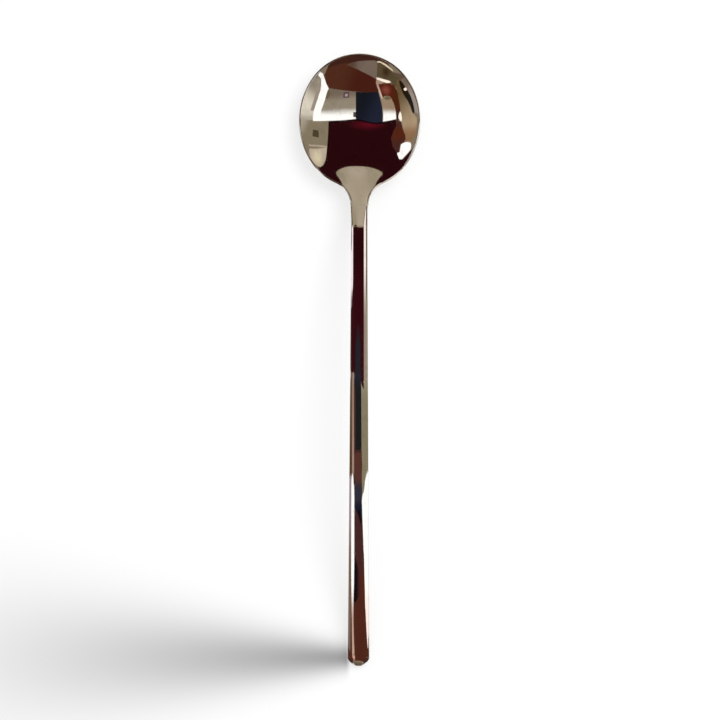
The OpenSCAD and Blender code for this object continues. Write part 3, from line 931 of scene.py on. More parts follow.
plug_loops = [[section_point(row, mix(plug_start - spigot_length, plug_start, i / spigot_steps))
               for row in whole_section(shell_wall + fit_gap)] for i in range(spigot_steps + 1)]
plug_wear = [0] * len(plug_loops) * len(plug_loops[0])
plug_places = [(plug_start + t * plug_length, 0) for t in plug_stations]
plug_places += [(overall_length - before, inset) for before, inset in end_arc]
for s, inset in plug_places:
    plug_loops.append([plug_point(row, s, inset) for row in whole_section(0)])
    plug_wear += [max(row[6], 1 if inset else 0) for row in whole_section(0)]
n = len(plug_loops[0])
plug_rows = [[r * n + k % n for k in range(n + 1)] for r in range(len(plug_loops))]
plug_faces = strips(plug_rows)
for row in (plug_rows[0], plug_rows[-1]):
    plug_faces += strips([row[:n // 2], row[n - 1:n // 2 - 1:-1]])
plug_points = [point for loop in plug_loops for point in loop]
plug = make_piece("bevelled_end_plug", plug_points, plug_faces, plug_wear, steel)
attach(plug, "root")
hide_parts("end_plug")


# Studio floor
# A plain white floor that keeps the spoon's shadow. A long soft shadow to the left of the handle's end is
# painted into its colour.
# Part of its white is its own light. Far out it fades into the surround, and it is clear from underneath.

floor_reach = 6
floor_glow = 0.54
floor_white = 0.48
floor_fade = (0.3, 1.5)
# The painted shadow: where it starts, how it fades in at the handle's end, how dark it is, how far it
# reaches and how it widens.
shade_start = (0.0008, -0.1002)
shade_edge = (-0.0022, -0.0044)
shade_depth = 0.66
shade_reach = 0.172
shade_width = 0.0025
shade_spread = 0.135
bell_power = -0.5


def stage_material(name):
    """An empty material for something that isn't part of the spoon, with its output."""
    material = bpy.data.materials.new(name)
    material.use_nodes = True
    material.node_tree.nodes.clear()
    return material.node_tree, add_node(material.node_tree, "ShaderNodeOutputMaterial"), material


def seen_directly(tree):
    """1 for what the camera sees, straight or in the steel, and 0 for light that falls on things."""
    ray = add_node(tree, "ShaderNodeLightPath").outputs
    in_steel = calculate(tree, "MAXIMUM", ray["Is Glossy Ray"], ray["Is Transmission Ray"])
    return calculate(tree, "MAXIMUM", ray["Is Camera Ray"], in_steel)


tree, output, floor_finish = stage_material("floor_white")
place = add_node(tree, "ShaderNodeTexCoord").outputs["Object"]
from_middle = add_node(tree, "ShaderNodeVectorMath", {0: place}, operation="LENGTH").outputs["Value"]
far = step_between(tree, from_middle, *floor_fade)
floor_x, floor_y = add_node(tree, "ShaderNodeSeparateXYZ", {0: place}).outputs[:2]
# Painted shadow: a soft band runs left from the handle's end and darkens both the floor's white and its own
# light.
to_left = calculate(tree, "MAXIMUM", calculate(tree, "SUBTRACT", shade_start[0], floor_x), 0)
off_line = calculate(tree, "DIVIDE", calculate(tree, "SUBTRACT", floor_y, shade_start[1]),
                     calculate(tree, "MULTIPLY_ADD", to_left, shade_spread, shade_width))
square = calculate(tree, "POWER", off_line, 2)
bell = calculate(tree, "EXPONENT", calculate(tree, "MULTIPLY", square, bell_power))
depth = calculate(tree, "MULTIPLY_ADD", to_left, -shade_depth / shade_reach, shade_depth)
painted_shadow = calculate(tree, "MULTIPLY", bell, calculate(tree, "MAXIMUM", depth, 0))
painted_shadow = calculate(tree, "MULTIPLY", painted_shadow, step_between(tree, floor_x, *shade_edge))
light = calculate(tree, "SUBTRACT", 1, painted_shadow)
near_white = calculate(tree, "MULTIPLY_ADD", far, -floor_white, floor_white)
near_white = calculate(tree, "MULTIPLY", light, near_white)
own_light = calculate(tree, "MULTIPLY_ADD", far, 1 - floor_glow, floor_glow)
own_light = calculate(tree, "MULTIPLY", calculate(tree, "MULTIPLY", light, own_light), seen_directly(tree))
white = add_node(tree, "ShaderNodeCombineColor", {0: near_white, 1: near_white, 2: near_white}).outputs[0]
matt = add_node(tree, "ShaderNodeBsdfDiffuse", {"Color": white})
glow = add_node(tree, "ShaderNodeEmission", {"Strength": own_light})
sum_of_both = add_node(tree, "ShaderNodeAddShader", {0: matt.outputs[0], 1: glow.outputs[0]})
clear = add_node(tree, "ShaderNodeBsdfTransparent").outputs[0]
from_below = add_node(tree, "ShaderNodeNewGeometry").outputs["Backfacing"]
floor_surface = add_node(tree, "ShaderNodeMixShader", {0: from_below, 1: sum_of_both.outputs[0], 2: clear})
tree.links.new(floor_surface.outputs[0], output.inputs["Surface"])
floor_mesh = bpy.data.meshes.new("floor")
floor_corners = [(-1, -1), (1, -1), (1, 1), (-1, 1)]
floor_mesh.from_pydata([(x * floor_reach, y * floor_reach, 0) for x, y in floor_corners], [], [(0, 1, 2, 3)])
floor_mesh.materials.append(floor_finish)
floor = bpy.data.objects.new("floor", floor_mesh)
bpy.context.collection.objects.link(floor)


# Light
# A plain white surround lights the spoon from all sides, a little dimmer than it looks.
# One large soft lamp to the upper right gives the shadow its side, and doesn't show in the steel.

surround_strength = 0.75
lamp_size = 0.9
lamp_place = (0.55, 0.45, 1.1)
lamp_power = 6

world = bpy.data.worlds.new("studio")
world.use_nodes = True
tree = world.node_tree
background = tree.nodes["Background"]
background.inputs["Color"].default_value = (1, 1, 1, 1)
strength = calculate(tree, "MULTIPLY_ADD", seen_directly(tree), 1 - surround_strength, surround_strength)
tree.links.new(strength, background.inputs["Strength"])
bpy.context.scene.world = world

lamp_data = bpy.data.lights.new("soft_lamp", "AREA")
lamp_data.shape = "DISK"
lamp_data.size = lamp_size
lamp_data.energy = lamp_power
lamp = bpy.data.objects.new("soft_lamp", lamp_data)
lamp.location = lamp_place
lamp.rotation_euler = Vector(lamp_place).to_track_quat("Z", "Y").to_euler()
lamp.visible_glossy = False
bpy.context.collection.objects.link(lamp)


# Studio cards
# Plain coloured cards hang round the spoon, out of the picture, and show in its steel and nowhere else.
# Their corners are degrees from straight overhead, to the right and up the picture.

steel_reflection = 0.64
colour_range = 255
card_step = 0.0015
card_fineness = 4
card_cloud = 0.1
cloud_detail = 3
clouds_across = 9
least_angle = 0.000001
surround_edge = 88
surround_corners = 24

# How far off the cards of a group hang, and how far up the picture, in metres.
all_round = (3.2, 0)
in_the_room = (2.4, 0)
beside_the_handle = (0.05, 0.02)
over_the_handle = (0.07, -0.055)
by_the_end = (0.0075, -0.1)


def seen_colour(colour):
    """Light of a card that shows in the steel as this colour, each part from 0 to 255."""
    light = Color([part / colour_range for part in colour]).from_srgb_to_scene_linear()
    return (*(part / steel_reflection for part in light), 1)


def fade_share(u, v, start, end, spread):
    """How far a fade has come: between two places, or out from a place to two radii."""
    du, dv = u - start[0], v - start[1]
    if spread:
        return ease(hypot(du / end[0], dv / end[1]))
    fade_u, fade_v = end[0] - start[0], end[1] - start[1]
    return ease((du * fade_u + dv * fade_v) / (fade_u * fade_u + fade_v * fade_v))


def hang_card(number, distance, over_y, name, corners, first, second=None, fade=None, spread=False):
    """A card between corners, of one colour, or of two that fade from one place to another."""
    shape = bmesh.new()
    shape.faces.new([shape.verts.new((u, v, 0)) for u, v in corners])
    long_edges = shape.edges[:]
    while long_edges:
        bmesh.ops.triangulate(shape, faces=shape.faces[:])
        long_edges = [edge for edge in shape.edges if edge.calc_length() > card_fineness]
        bmesh.ops.subdivide_edges(shape, edges=long_edges, cuts=1)
    shades = []
    reach = distance * (1 - card_step * number)
    for vert in shape.verts:
        u, v = vert.co.x, vert.co.y
        shades.append(fade_share(u, v, *fade, spread) if fade else 0)
        off = max(hypot(u, v), least_angle)
        across = sin(radians(off)) * reach / off
        vert.co = (u * across, v * across + over_y, cos(radians(off)) * reach)
    mesh = bpy.data.meshes.new("card_" + name)
    shape.to_mesh(mesh)
    shape.free()
    mesh.attributes.new("shade", "FLOAT", "POINT").data.foreach_set("value", shades)
    tree, output, material = stage_material("card_" + name)
    place = add_node(tree, "ShaderNodeTexCoord").outputs["Object"]
    cloud = noise(tree, place, clouds_across / distance, cloud_detail)
    brightness = calculate(tree, "MULTIPLY_ADD", cloud, 2 * card_cloud, 1 - card_cloud)
    shade = add_node(tree, "ShaderNodeAttribute", attribute_name="shade").outputs["Fac"]
    colours = add_node(tree, "ShaderNodeMix", {"Factor": shade, "A": seen_colour(first),
                                               "B": seen_colour(second or first)}, data_type="RGBA")
    own_light = add_node(tree, "ShaderNodeEmission",
                         {"Color": colours.outputs["Result"], "Strength": brightness})
    tree.links.new(own_light.outputs[0], output.inputs["Surface"])
    mesh.materials.append(material)
    card = bpy.data.objects.new("card_" + name, mesh)
    card.visible_camera = card.visible_diffuse = card.visible_shadow = False
    bpy.context.collection.objects.link(card)


turns = [2 * pi * i / surround_corners for i in range(surround_corners)]
surround = [(surround_edge * cos(turn), surround_edge * sin(turn)) for turn in turns]
cards = [(all_round, ("surround", surround, (122, 112, 94)))]
cards += [(in_the_room, card) for card in (
    ("right_wall", [(57.5, 9), (45.3, 8.9), (33.5, 8.6), (34, 17.8), (35.7, 28), (36.5, 33.9), (39.7, 48.3),
     (46, 54.2), (54.9, 57.1), (67.2, 51.5), (73.9, 42.1), (77.5, 30.1), (79.7, 21), (80.2, 12.2)],
     (128, 117, 98), (162, 155, 140), ((59.5, 16), (70.2, 9.1))),
    ("wall_top", [(36.4, 32.5), (37.8, 41.4), (39.7, 47.7), (42.5, 51.7), (45.9, 53.7), (49.2, 53.8),
     (54, 51.6), (58.7, 46.4), (60.6, 40.8), (60.4, 37), (48.3, 35.2)], (206, 196, 166), (180, 166, 150),
     ((49.4, 44.3), (11, 13)), True),
    ("wall_ledge", [(61.4, 33), (48.2, 31.5), (35.8, 30.8), (36.3, 32.5), (48.2, 33.3), (60.5, 34.7)],
     (170, 156, 138)),
    ("wall_panel", [(55, 17.7), (47, 17.8), (46.8, 24.3), (55.9, 24.2)], (72, 64, 47)),
    ("far_right", [(56.5, 9), (56.3, 3.7), (54.1, -2.9), (51.4, -11.2), (48.7, -19.6), (48.6, -25.8),
     (48.9, -31.6), (51.3, -33.1), (54.1, -32.5), (60.5, -30.1), (66.9, -23), (72.9, -13.8), (76.9, -3.3),
     (77.7, 4), (77.1, 11.9)], (212, 205, 191), (140, 132, 118), ((65.4, -4.6), (56.1, -25.3))),
    ("grey_band", [(56.5, 9), (56.3, 3.7), (54.1, -2.9), (51.4, -11.1), (48.7, -19.6), (48.6, -25.8),
     (48.9, -31.6), (52.4, -29.8), (53.7, -23.4), (54.2, -16.3), (55.8, -9.4), (58.5, -2.6), (60.5, 3.2),
     (64.2, 10)], (152, 141, 128)),
    ("brown_red", [(46.2, -37.4), (44.3, -35), (40, -46), (32.8, -56.5), (19.6, -61), (6.3, -62.5),
     (-7.1, -62.5), (-20.5, -60), (-34, -55), (-41, -39.2), (-57.5, -35.3), (-56, -27.6), (-50.6, -30.6),
     (-40.3, -37.7), (-31.1, -39.6), (-22.2, -39.6), (-22.4, -26.2), (-20.8, -18), (-6.9, -17.6),
     (6.1, -18.2), (20.9, -19.9), (36.7, -22), (40.2, -26.1), (43, -31.4)], (76, 42, 29), (69, 29, 20),
     ((26.2, -37.2), (-2.7, -30.3))),
    ("dark_brown_top", [(19.6, -61), (6.3, -62.5), (-7.1, -62.5), (-20.5, -60), (-34.1, -55), (-41, -39.2),
     (-57.5, -35.3), (-56, -27.6), (-50.6, -30.6), (-40.5, -39.9), (-31.8, -47.7), (-23, -52.7),
     (-12.9, -53.8), (-0.4, -53.1), (12, -50.9), (24.6, -49), (32.2, -46.4), (40, -43.8), (40, -46),
     (32.8, -56.5)], (60, 33, 26), (92, 74, 64), ((-15.5, -56.5), (-50.2, -41.1))),
    ("grey_patch", [(16.2, -48.1), (9.5, -50.9), (2.1, -52.6), (-7.9, -53.3), (-17.9, -53.5),
     (-22.7, -52.1), (-23.2, -46.7), (-22.2, -40.8), (-20.3, -34.4), (-20.9, -30.5), (-11, -36),
     (2, -42.3)], (84, 64, 52), (112, 98, 88), ((11.8, -46.7), (-5.3, -46.7))),
    ("olive_wall", [(-22.3, -51.5), (-30.5, -48), (-38.1, -42.5), (-41.8, -38.7), (-48.8, -33.4),
     (-51.4, -30), (-51.2, -23.7), (-47, -19.9), (-42.1, -24.1), (-37.9, -28.4), (-29.1, -31.5),
     (-20.3, -33.9)], (60, 40, 24), (84, 72, 52), ((-32.5, -39.5), (9, 10)), True),
    ("tan", [(-46.1, -30.8), (-49.1, -29.6), (-49.2, -25.9), (-50.9, -21.2), (-52.9, -16.6), (-55.6, -12.5),
     (-59, -8.8), (-62.4, -2.8), (-64.8, 2.6), (-71.4, 9.1), (-70.3, 18.4), (-66.5, 26.4), (-62.2, 31.6),
     (-54, 29.6), (-54.3, 25.5), (-53.1, 21.6), (-50.3, 16.6), (-49.3, 10.2), (-48.6, 3.8), (-47.4, 0.1),
     (-47.1, -6.3), (-45.6, -13), (-44.4, -18.9), (-44.6, -25.1)], (98, 80, 55), (164, 144, 117),
     ((-46.7, -21.9), (-66.7, 15))),
    ("tan_foot", [(-49.3, 8.4), (-71.3, 11), (-70.3, 18.4), (-66.5, 26.4), (-62.2, 31.6), (-54, 29.6),
     (-54.3, 25.5), (-53.1, 21.6), (-50.3, 16.6)], (166, 144, 118), (138, 106, 78),
     ((-59.5, 9.4), (-57.8, 24.1))),
    ("brown_band", [(-37.8, -27.8), (-42.1, -24.1), (-45.3, -17.9), (-46.2, -12), (-47.2, -6.3),
     (-47.5, -0.8), (-45.6, 4.9), (-44.3, 8.4), (-41.3, 7.6), (-41.4, 1.6), (-40.6, -2.5), (-39.1, -6.2),
     (-37.1, -9.9), (-36.1, -13.2), (-39.7, -15.1), (-40.3, -20)], (74, 36, 17), (60, 38, 36),
     ((-41.9, -4.7), (-42.5, 5.2))),
    ("red_spot", [(-20.5, -26.2), (-24.8, -26.5), (-29.9, -26.9), (-37.1, -27), (-40.5, -22.1),
     (-40.4, -16.1), (-37.3, -11.8), (-33.6, -13.7), (-28.6, -14.5), (-25.1, -12.8), (-23.7, -17.1),
     (-22, -22)], (130, 66, 54), (80, 32, 18), ((-30.4, -20.1), (9, 7)), True),
    ("beige_edge", [(-19.5, -31.2), (-22.7, -30.2), (-26.9, -28.4), (-26.1, -26.5), (-21.6, -26),
     (-22.9, -20.5), (-24.6, -15.6), (-25.6, -12), (-24.3, -11.1), (-22.8, -14.1), (-21.4, -19),
     (-19.7, -23.5), (-18.7, -27.2)], (160, 136, 118), (200, 174, 162), ((-22.5, -28.3), (-23.9, -16.1))),
    ("light_wall", [(44.6, 9), (32, 7.9), (20.2, 7.1), (9.6, 6.2), (3.6, 5.9), (4, -17.9), (20.9, -19.9),
     (36.7, -22), (40.1, -10.6), (44.1, -0.8), (45.2, 2.8)], (255, 255, 255), (142, 132, 117),
     ((22.6, 4), (23, -3.6))),
    ("light_wall_foot", [(37.4, -19.3), (36.7, -22), (20.9, -19.9), (4, -17.9), (3.8, -6.6), (21, -6.7),
     (38.3, -6.5), (40.1, -10.6)], (112, 100, 88), (142, 132, 117), ((19.6, -17.9), (18.7, -6.7))),
    ("wall_corner", [(34.6, -19.2), (34, -15), (36, -12.1), (40.1, -10.5), (38.8, -14.5), (36.9, -19.1)],
     (102, 90, 68)),
    ("wall_frame", [(17.7, -17.7), (11.3, -17.8), (11.3, -12.3), (17.8, -12.5)], (88, 68, 75)),
    ("wall_picture", [(15.6, -15.9), (12.8, -15.9), (13.1, -13.7), (15.8, -13.7)], (168, 148, 152)),
    ("wall_dark_piece", [(6.3, 0.1), (3.7, 0.1), (3.7, 4.3), (6.5, 4.1)], (76, 68, 52)),
    ("window", [(55.4, 10), (55.9, 6.5), (55.1, 1.8), (52.8, -4.4), (50.1, -12.1), (47.4, -20.1),
     (47.5, -26.8), (48, -31.3), (50.2, -33.1), (52.6, -34.4), (51.8, -36.7), (50, -38.3), (46.5, -37.3),
     (43, -31.3), (40.2, -26.1), (36.5, -21.4), (37.8, -19.4), (39.2, -14.5), (40.1, -10.6), (41.9, -5.9),
     (44.1, -0.8), (44.8, 2.3), (44.4, 9)], (255, 255, 255)),
    ("far_right_foot", [(56.3, 9.2), (55.7, 4.6), (55, 0.9), (63.4, 0.8), (76.9, 1.9), (77.1, 12.1)],
     (208, 201, 187), (164, 157, 141), ((63.3, 1.3), (62.6, 10.9))),
    ("navy", [(3.7, 6.1), (4.1, -17.9), (-6.9, -17.5), (-20.8, -18), (-22.3, -12.2), (-23.8, -7.4),
     (-24.3, -2.4), (-24.6, 2.7), (-24, 8.4), (-21.1, 8.9), (-16.7, 9.4), (-10.4, 8.4), (-2.4, 7)],
     (21, 24, 32), (30, 34, 50), ((-0.4, -9.3), (-19.1, 3.5))),
    ("pink_beige", [(-24.2, -11), (-27.2, -12.9), (-31.1, -14.4), (-34.8, -13.6), (-36.9, -10.8),
     (-38.9, -7.5), (-40.4, -3.4), (-41.2, 1.2), (-41.2, 7.3), (-33.1, 8), (-24.8, 8.5), (-25.2, 1.9),
     (-24.9, -2.5), (-24.4, -6.9)], (255, 255, 255), (148, 128, 108), ((-32, 3.8), (-32.5, -3.6))),
    ("khaki_piece", [(-26.9, -11.9), (-31.1, -14.2), (-35.2, -13), (-35.6, -10.7), (-29.4, -10.6)],
     (106, 92, 70)),
    ("white_piece", [(-46.9, 0.4), (-48.5, 2.5), (-49.4, 7.1), (-48.7, 9.8), (-46.5, 8.7), (-44.4, 6.2),
     (-44.8, 3.6)], (252, 244, 234)),
    ("rim_grey", [(-51.4, -30.1), (-56.7, -32.2), (-62.5, -26), (-67.5, -17.1), (-71.2, -8.5),
     (-73.6, -0.3), (-72.8, 5.5), (-68.4, 2.7), (-67.8, -1.6), (-66.3, -7), (-63.9, -12.6), (-60.7, -17.9),
     (-56.9, -22.8), (-53.8, -27.1)], (112, 96, 84), (150, 138, 132), ((-56, -27.5), (-66, -12.4))),
    ("black_sliver", [(-49.3, -29), (-51.4, -29.7), (-53.8, -27.1), (-56.9, -22.7), (-60.7, -17.9),
     (-63.9, -12.6), (-66.3, -7), (-67.8, -1.6), (-68.4, 2.7), (-66.4, 4.6), (-64.7, 2.7), (-62.4, -2.7),
     (-59, -8.7), (-55.6, -12.4), (-52.9, -16.5), (-50.9, -21.1), (-49.4, -25.3)], (34, 22, 9),
     (29, 31, 28), ((-52.6, -23.6), (-64.9, -2.9))),
    ("small_lamp", [(-59.3, -19.8), (-58.5, -18.7), (-56.8, -18.4), (-55.2, -19), (-54.6, -20.2),
     (-55.5, -21.3), (-57.2, -21.6), (-58.7, -21)], (252, 238, 228)),
    ("streak", [(-19.8, -33.3), (-22.9, -32.8), (-29.1, -31.3), (-34.1, -30.1), (-37.7, -28.8),
     (-36.5, -27.5), (-32.5, -27.3), (-28.1, -28.4), (-23.9, -29.8), (-20.3, -30.9)], (255, 240, 227)),
    ("low_streak", [(-21.7, -52.3), (-25.6, -52.3), (-32, -49.3), (-37, -45.7), (-40.8, -42.2),
     (-42.5, -40), (-40.9, -40.4), (-36.8, -43.5), (-31.8, -46.9), (-26.1, -50.4), (-22.2, -50.9)],
     (216, 202, 178)),
    ("dark_red", [(33.3, 8.7), (20.2, 7.6), (9.6, 6.6), (3.8, 6.2), (-2.4, 7.1), (-10.4, 8.5), (-16.7, 9.5),
     (-21.1, 9.1), (-25.1, 8.6), (-33.1, 8.1), (-41, 7.5), (-41.5, 12.2), (-37.4, 17.2), (-34.5, 23.2),
     (-36.8, 31), (-43.4, 39.6), (-45.1, 44), (-46.8, 46.5), (-50.4, 47.2), (-54.7, 44.3), (-58.8, 41.4),
     (-64, 37.8), (-69, 31.8), (-74.2, 23.8), (-80, 26), (-72, 48), (-50, 70), (-20, 84), (20, 84),
     (50, 70), (60, 56), (45.9, 54.1), (41.9, 52.1), (39.1, 47.2), (37.4, 40.3), (35.9, 31.9), (34.7, 23.3),
     (33.8, 14.3)], (38, 8, 12)),
    ("red_glow", [(20.2, 7.6), (9.6, 6.8), (3.5, 6.4), (-2.4, 7.3), (-10.4, 8.8), (-16.7, 9.8), (-26, 10.5),
     (-34.3, 14.3), (-28.2, 18.1), (-14.7, 18.9), (-0.5, 16.9), (11.6, 14.7), (19, 11.7)], (84, 14, 28),
     (38, 8, 12), ((-9.4, 10.2), (27, 5.5)), True),
    ("dark_edge", [(33.8, 9.4), (32.8, 8.3), (20.2, 7.2), (9.6, 6.2), (3.5, 5.7), (-2.4, 6.6), (-10.4, 8.1),
     (-16.7, 9.1), (-24.6, 8.3), (-33.1, 7.7), (-41, 7), (-41, 8.1), (-33.1, 8.9), (-24.6, 9.4),
     (-16.7, 10.1), (-10.4, 9.2), (-2.4, 7.7), (3.5, 6.8), (9.6, 7.3), (20.2, 8.4), (30.7, 9.5),
     (32.2, 10.8), (32.7, 17.7), (33.8, 26), (35.1, 33.8), (36.8, 42.4), (39.3, 50.4), (44.1, 54.7),
     (46.2, 54.3), (41.8, 52), (38.8, 46), (36.5, 35), (35.4, 28), (34.2, 18.8)], (15, 3, 5)),
    ("brown", [(-41.3, 7.7), (-47.8, 10.1), (-49.2, 13.8), (-51.1, 18.2), (-53.7, 22.7), (-54.3, 26.6),
     (-52.4, 29.2), (-49.1, 30.5), (-47.9, 33.5), (-47, 38.3), (-43.4, 39.6), (-36.8, 31), (-34.5, 23.2),
     (-37.4, 17.2), (-41.5, 12.2)], (82, 36, 20), (68, 38, 34), ((-45, 20.7), (19, 13)), True),
    ("white_blob", [(-48, 31), (-50.8, 29.9), (-56.4, 29.6), (-61.4, 31.1), (-62.4, 33.7), (-61.8, 37.7),
     (-58.3, 40.8), (-54.4, 43.4), (-50.1, 46.7), (-46.4, 46.1), (-44.6, 42.3), (-43, 39.1), (-46.4, 38.4),
     (-47.2, 34.4)], (255, 255, 255)),
    ("over_neck", [(26.7, 54.3), (26.7, 54.7), (25.2, 53.8), (21.9, 52.4), (18.3, 51.1), (14.8, 50.1),
     (10.3, 49.3), (3.8, 48.8), (-3.8, 49), (-10.4, 49.9), (-16.2, 51.3), (-20.9, 52.7), (-24.7, 54),
     (-26.6, 54.7), (-26.6, 54.1), (-28, 57.5), (-26, 66), (-10, 84), (10, 84), (26, 66), (28, 57.5)],
     (166, 155, 138), (150, 139, 119), ((3.9, 52.8), (22, 7)), True),
)]
cards += [(beside_the_handle, card) for card in (
    ("handle_red", [(-38.1, 61.5), (-31.7, 60.1), (-29, 59.5), (-29.2, 59.5), (-24.3, 51.9), (-8.1, 59.6),
     (-3.5, 56.3), (1.2, 56.2), (7.6, 56.4), (11, 56.5), (12.2, 49), (13.5, 36.4), (14.2, 23.6),
     (14.1, 11.2), (13.5, -0.5), (12.5, -11.4), (11.2, -21.9), (9.9, -30.3), (8.5, -37.5), (6.7, -37.4),
     (5.5, -36.2), (3.9, -34.5), (3.4, -31.8), (2.8, -29.1), (-1.9, -28.3), (-7.4, -28.4), (-8.2, -28.4),
     (-10.3, -28.6), (-17.5, -29), (-30.7, -30.2), (-37, -31), (-43.7, -32.1), (-91.2, -32.2),
     (-86.6, -24.9), (-91.9, -13.5), (-94.4, -1.4), (-114.4, 6.9), (-57.7, 11.6), (-51.8, 21.7),
     (-50.7, 32.1), (-48.4, 42.6), (-44.6, 52.8), (-41.1, 59.8)], (38, 8, 12), (48, 10, 17),
     ((-0.7, 48.8), (-0.5, 11.2))),
    ("left_neck_side", [(-76.6, 65.1), (-77.9, 64.3), (-86.5, 63.7), (-85.2, 63.3), (-91.4, 62.1),
     (-4.7, 57.7), (-5.7, 60.8), (-6.6, 62.9), (-5.7, 65), (-4.5, 67)], (156, 145, 127), (147, 135, 115),
     ((-2.7, 65.8), (-4.3, 58.3))),
    ("left_neck_line", [(-39.5, 67.8), (-57.8, 76), (-54.2, 70.6), (-44.5, 65.4), (-42.2, 62.9),
     (-34.7, 61.1), (-37.4, 63.4), (-38.4, 64.5), (-34.8, 65.4), (-21.8, 65.1)], (84, 78, 66)),
    ("left_upper_bevel", [(-91.2, 62.1), (-90.9, 56), (-117.3, 49.6), (-109.7, 42.8), (-100.6, 35.7),
     (-91.9, 28.7), (-111.4, 21.8), (-101.1, 16.9), (-93.9, 11.5), (-112.5, 6.2), (-58.9, 6.2),
     (-55.7, 11.5), (-51.8, 16.9), (-45.9, 21.4), (-44.4, 28.1), (-43.3, 35), (-41.7, 41.8), (-39.6, 48.5),
     (-36.9, 54.9), (-33.8, 60.9)], (242, 232, 238), (150, 140, 140), ((-45, 23.4), (-44.8, 10.1))),
    ("left_upper_line", [(-89.8, 61.6), (-91.5, 57.9), (-89.9, 54.1), (-116.8, 50.3), (-114.9, 46.2),
     (-54, 47.3), (-50.4, 51.1), (-46.9, 54.8), (-45.8, 59), (-44.5, 63)], (110, 98, 104)),
    ("left_lower_edge", [(-112.4, 6.2), (-94.2, -1.5), (-101.7, -10.1), (-109.7, -18.4), (-115.5, -26.4),
     (-115.6, -33.2), (-42, -32.8), (-46.5, -26.2), (-50.7, -18.4), (-54.1, -10.2), (-56.5, -1.6),
     (-57.9, 6.2)], (70, 42, 44)),
    ("right_neck", [(3.7, 70), (4.3, 68.6), (5.3, 66.9), (9.5, 64.6), (17.5, 62.7), (19.8, 61.3),
     (12.2, 58), (38.1, 62), (35.7, 63.2), (30.9, 63.3), (19.6, 64), (10.9, 65.7), (8.4, 67.7),
     (4.5, 69.6)], (184, 172, 152), (244, 232, 224), ((4.2, 68.6), (31.4, 63))),
    ("right_bevel", [(10.2, 57.9), (11.6, 52.1), (12.5, 45.9), (13.2, 39.6), (13.7, 33.2), (14, 26.7),
     (14.1, 20.4), (14.1, 16), (14, 11.1), (13.8, 6.3), (13.4, -0.7), (12.7, -8.4), (12, -15.9),
     (11, -23.3), (9.9, -29.7), (9.2, -33.5), (36, -36.1), (38.6, -32.3), (42.4, -25.7), (45.9, -17.9),
     (48.5, -9.8), (50.3, -1.4), (51.1, 6.2), (51.3, 11.5), (51.1, 16.8), (50.7, 21.6), (49.8, 28.5),
     (48.2, 35.5), (46.1, 42.4), (43.4, 49.2), (40.2, 55.6), (36.5, 61.6)], (244, 232, 224),
     (150, 130, 122), ((44.8, 45.8), (49.1, -7.5))),
    ("right_line", [(5.9, 66.8), (16.8, 64.1), (28.5, 63.1), (34, 62.9), (36.5, 61.7), (36.5, 61.7),
     (40.2, 55.7), (43.4, 49.2), (46.1, 42.4), (48.2, 35.5), (49.7, 28.5), (50.7, 21.6), (51.1, 16.8),
     (51.2, 11.5), (51, 6.2), (50.2, -1.4), (48.5, -9.9), (45.9, -17.9), (42.4, -25.8), (38.5, -32.3),
     (35.9, -36.2), (45.2, -38.1), (48.4, -34.2), (53.1, -27.5), (57.5, -19.5), (60.8, -11), (63.1, -2),
     (63.9, 6), (64, 11.6), (63.6, 17.3), (63, 22.3), (61.6, 29.6), (59.5, 36.9), (56.7, 44.1),
     (53.3, 51.1), (49.2, 57.7), (44.9, 63.9), (44.9, 63.9), (44.1, 65.5), (42.5, 65.9), (36.1, 66),
     (19, 65.2)], (84, 76, 72), (146, 142, 124), ((59.9, 25.7), (60.4, 3.4))),
    ("right_edge", [(18.9, 65.3), (36, 66), (42.4, 65.9), (44, 65.5), (44.8, 63.9), (44.8, 63.9),
     (49.2, 57.8), (53.2, 51.1), (56.7, 44.1), (59.4, 36.9), (61.5, 29.6), (63, 22.3), (63.6, 17.2),
     (63.9, 11.6), (63.9, 6), (63, -2.1), (60.7, -11), (57.4, -19.5), (53, -27.6), (48.3, -34.3),
     (45.1, -38.2), (88.6, -37.1), (97.8, -33.2), (114.4, -26.6), (95.4, -18.5), (109.5, -10.2),
     (92.1, -1.5), (95.2, 6.2), (98.5, 11.5), (102.6, 16.9), (105.6, 21.8), (108.6, 28.8), (109.9, 35.8),
     (109.1, 42.8), (106.2, 49.6), (101.7, 56.2), (93.7, 62.2), (93.7, 62.2), (82.9, 63.5), (81.9, 63.8),
     (72.5, 64.4), (81.2, 65.4)], (222, 218, 212), (150, 146, 128), ((59.8, 25.7), (60.4, 3.4))),
    ("crown_dark", [(-5.9, -5.7), (-3.7, -2.9), (-0.4, -2.9), (1.9, -5.7), (2.7, -14.3), (2.2, -22.2),
     (2.8, -27.5), (3.9, -33.6), (-6.3, -33.6), (-7.3, -29.8), (-6.9, -25.5), (-7.6, -17)], (46, 22, 30),
     (34, 36, 42), ((-2.6, -2.9), (-2.3, -16.9))),
)]
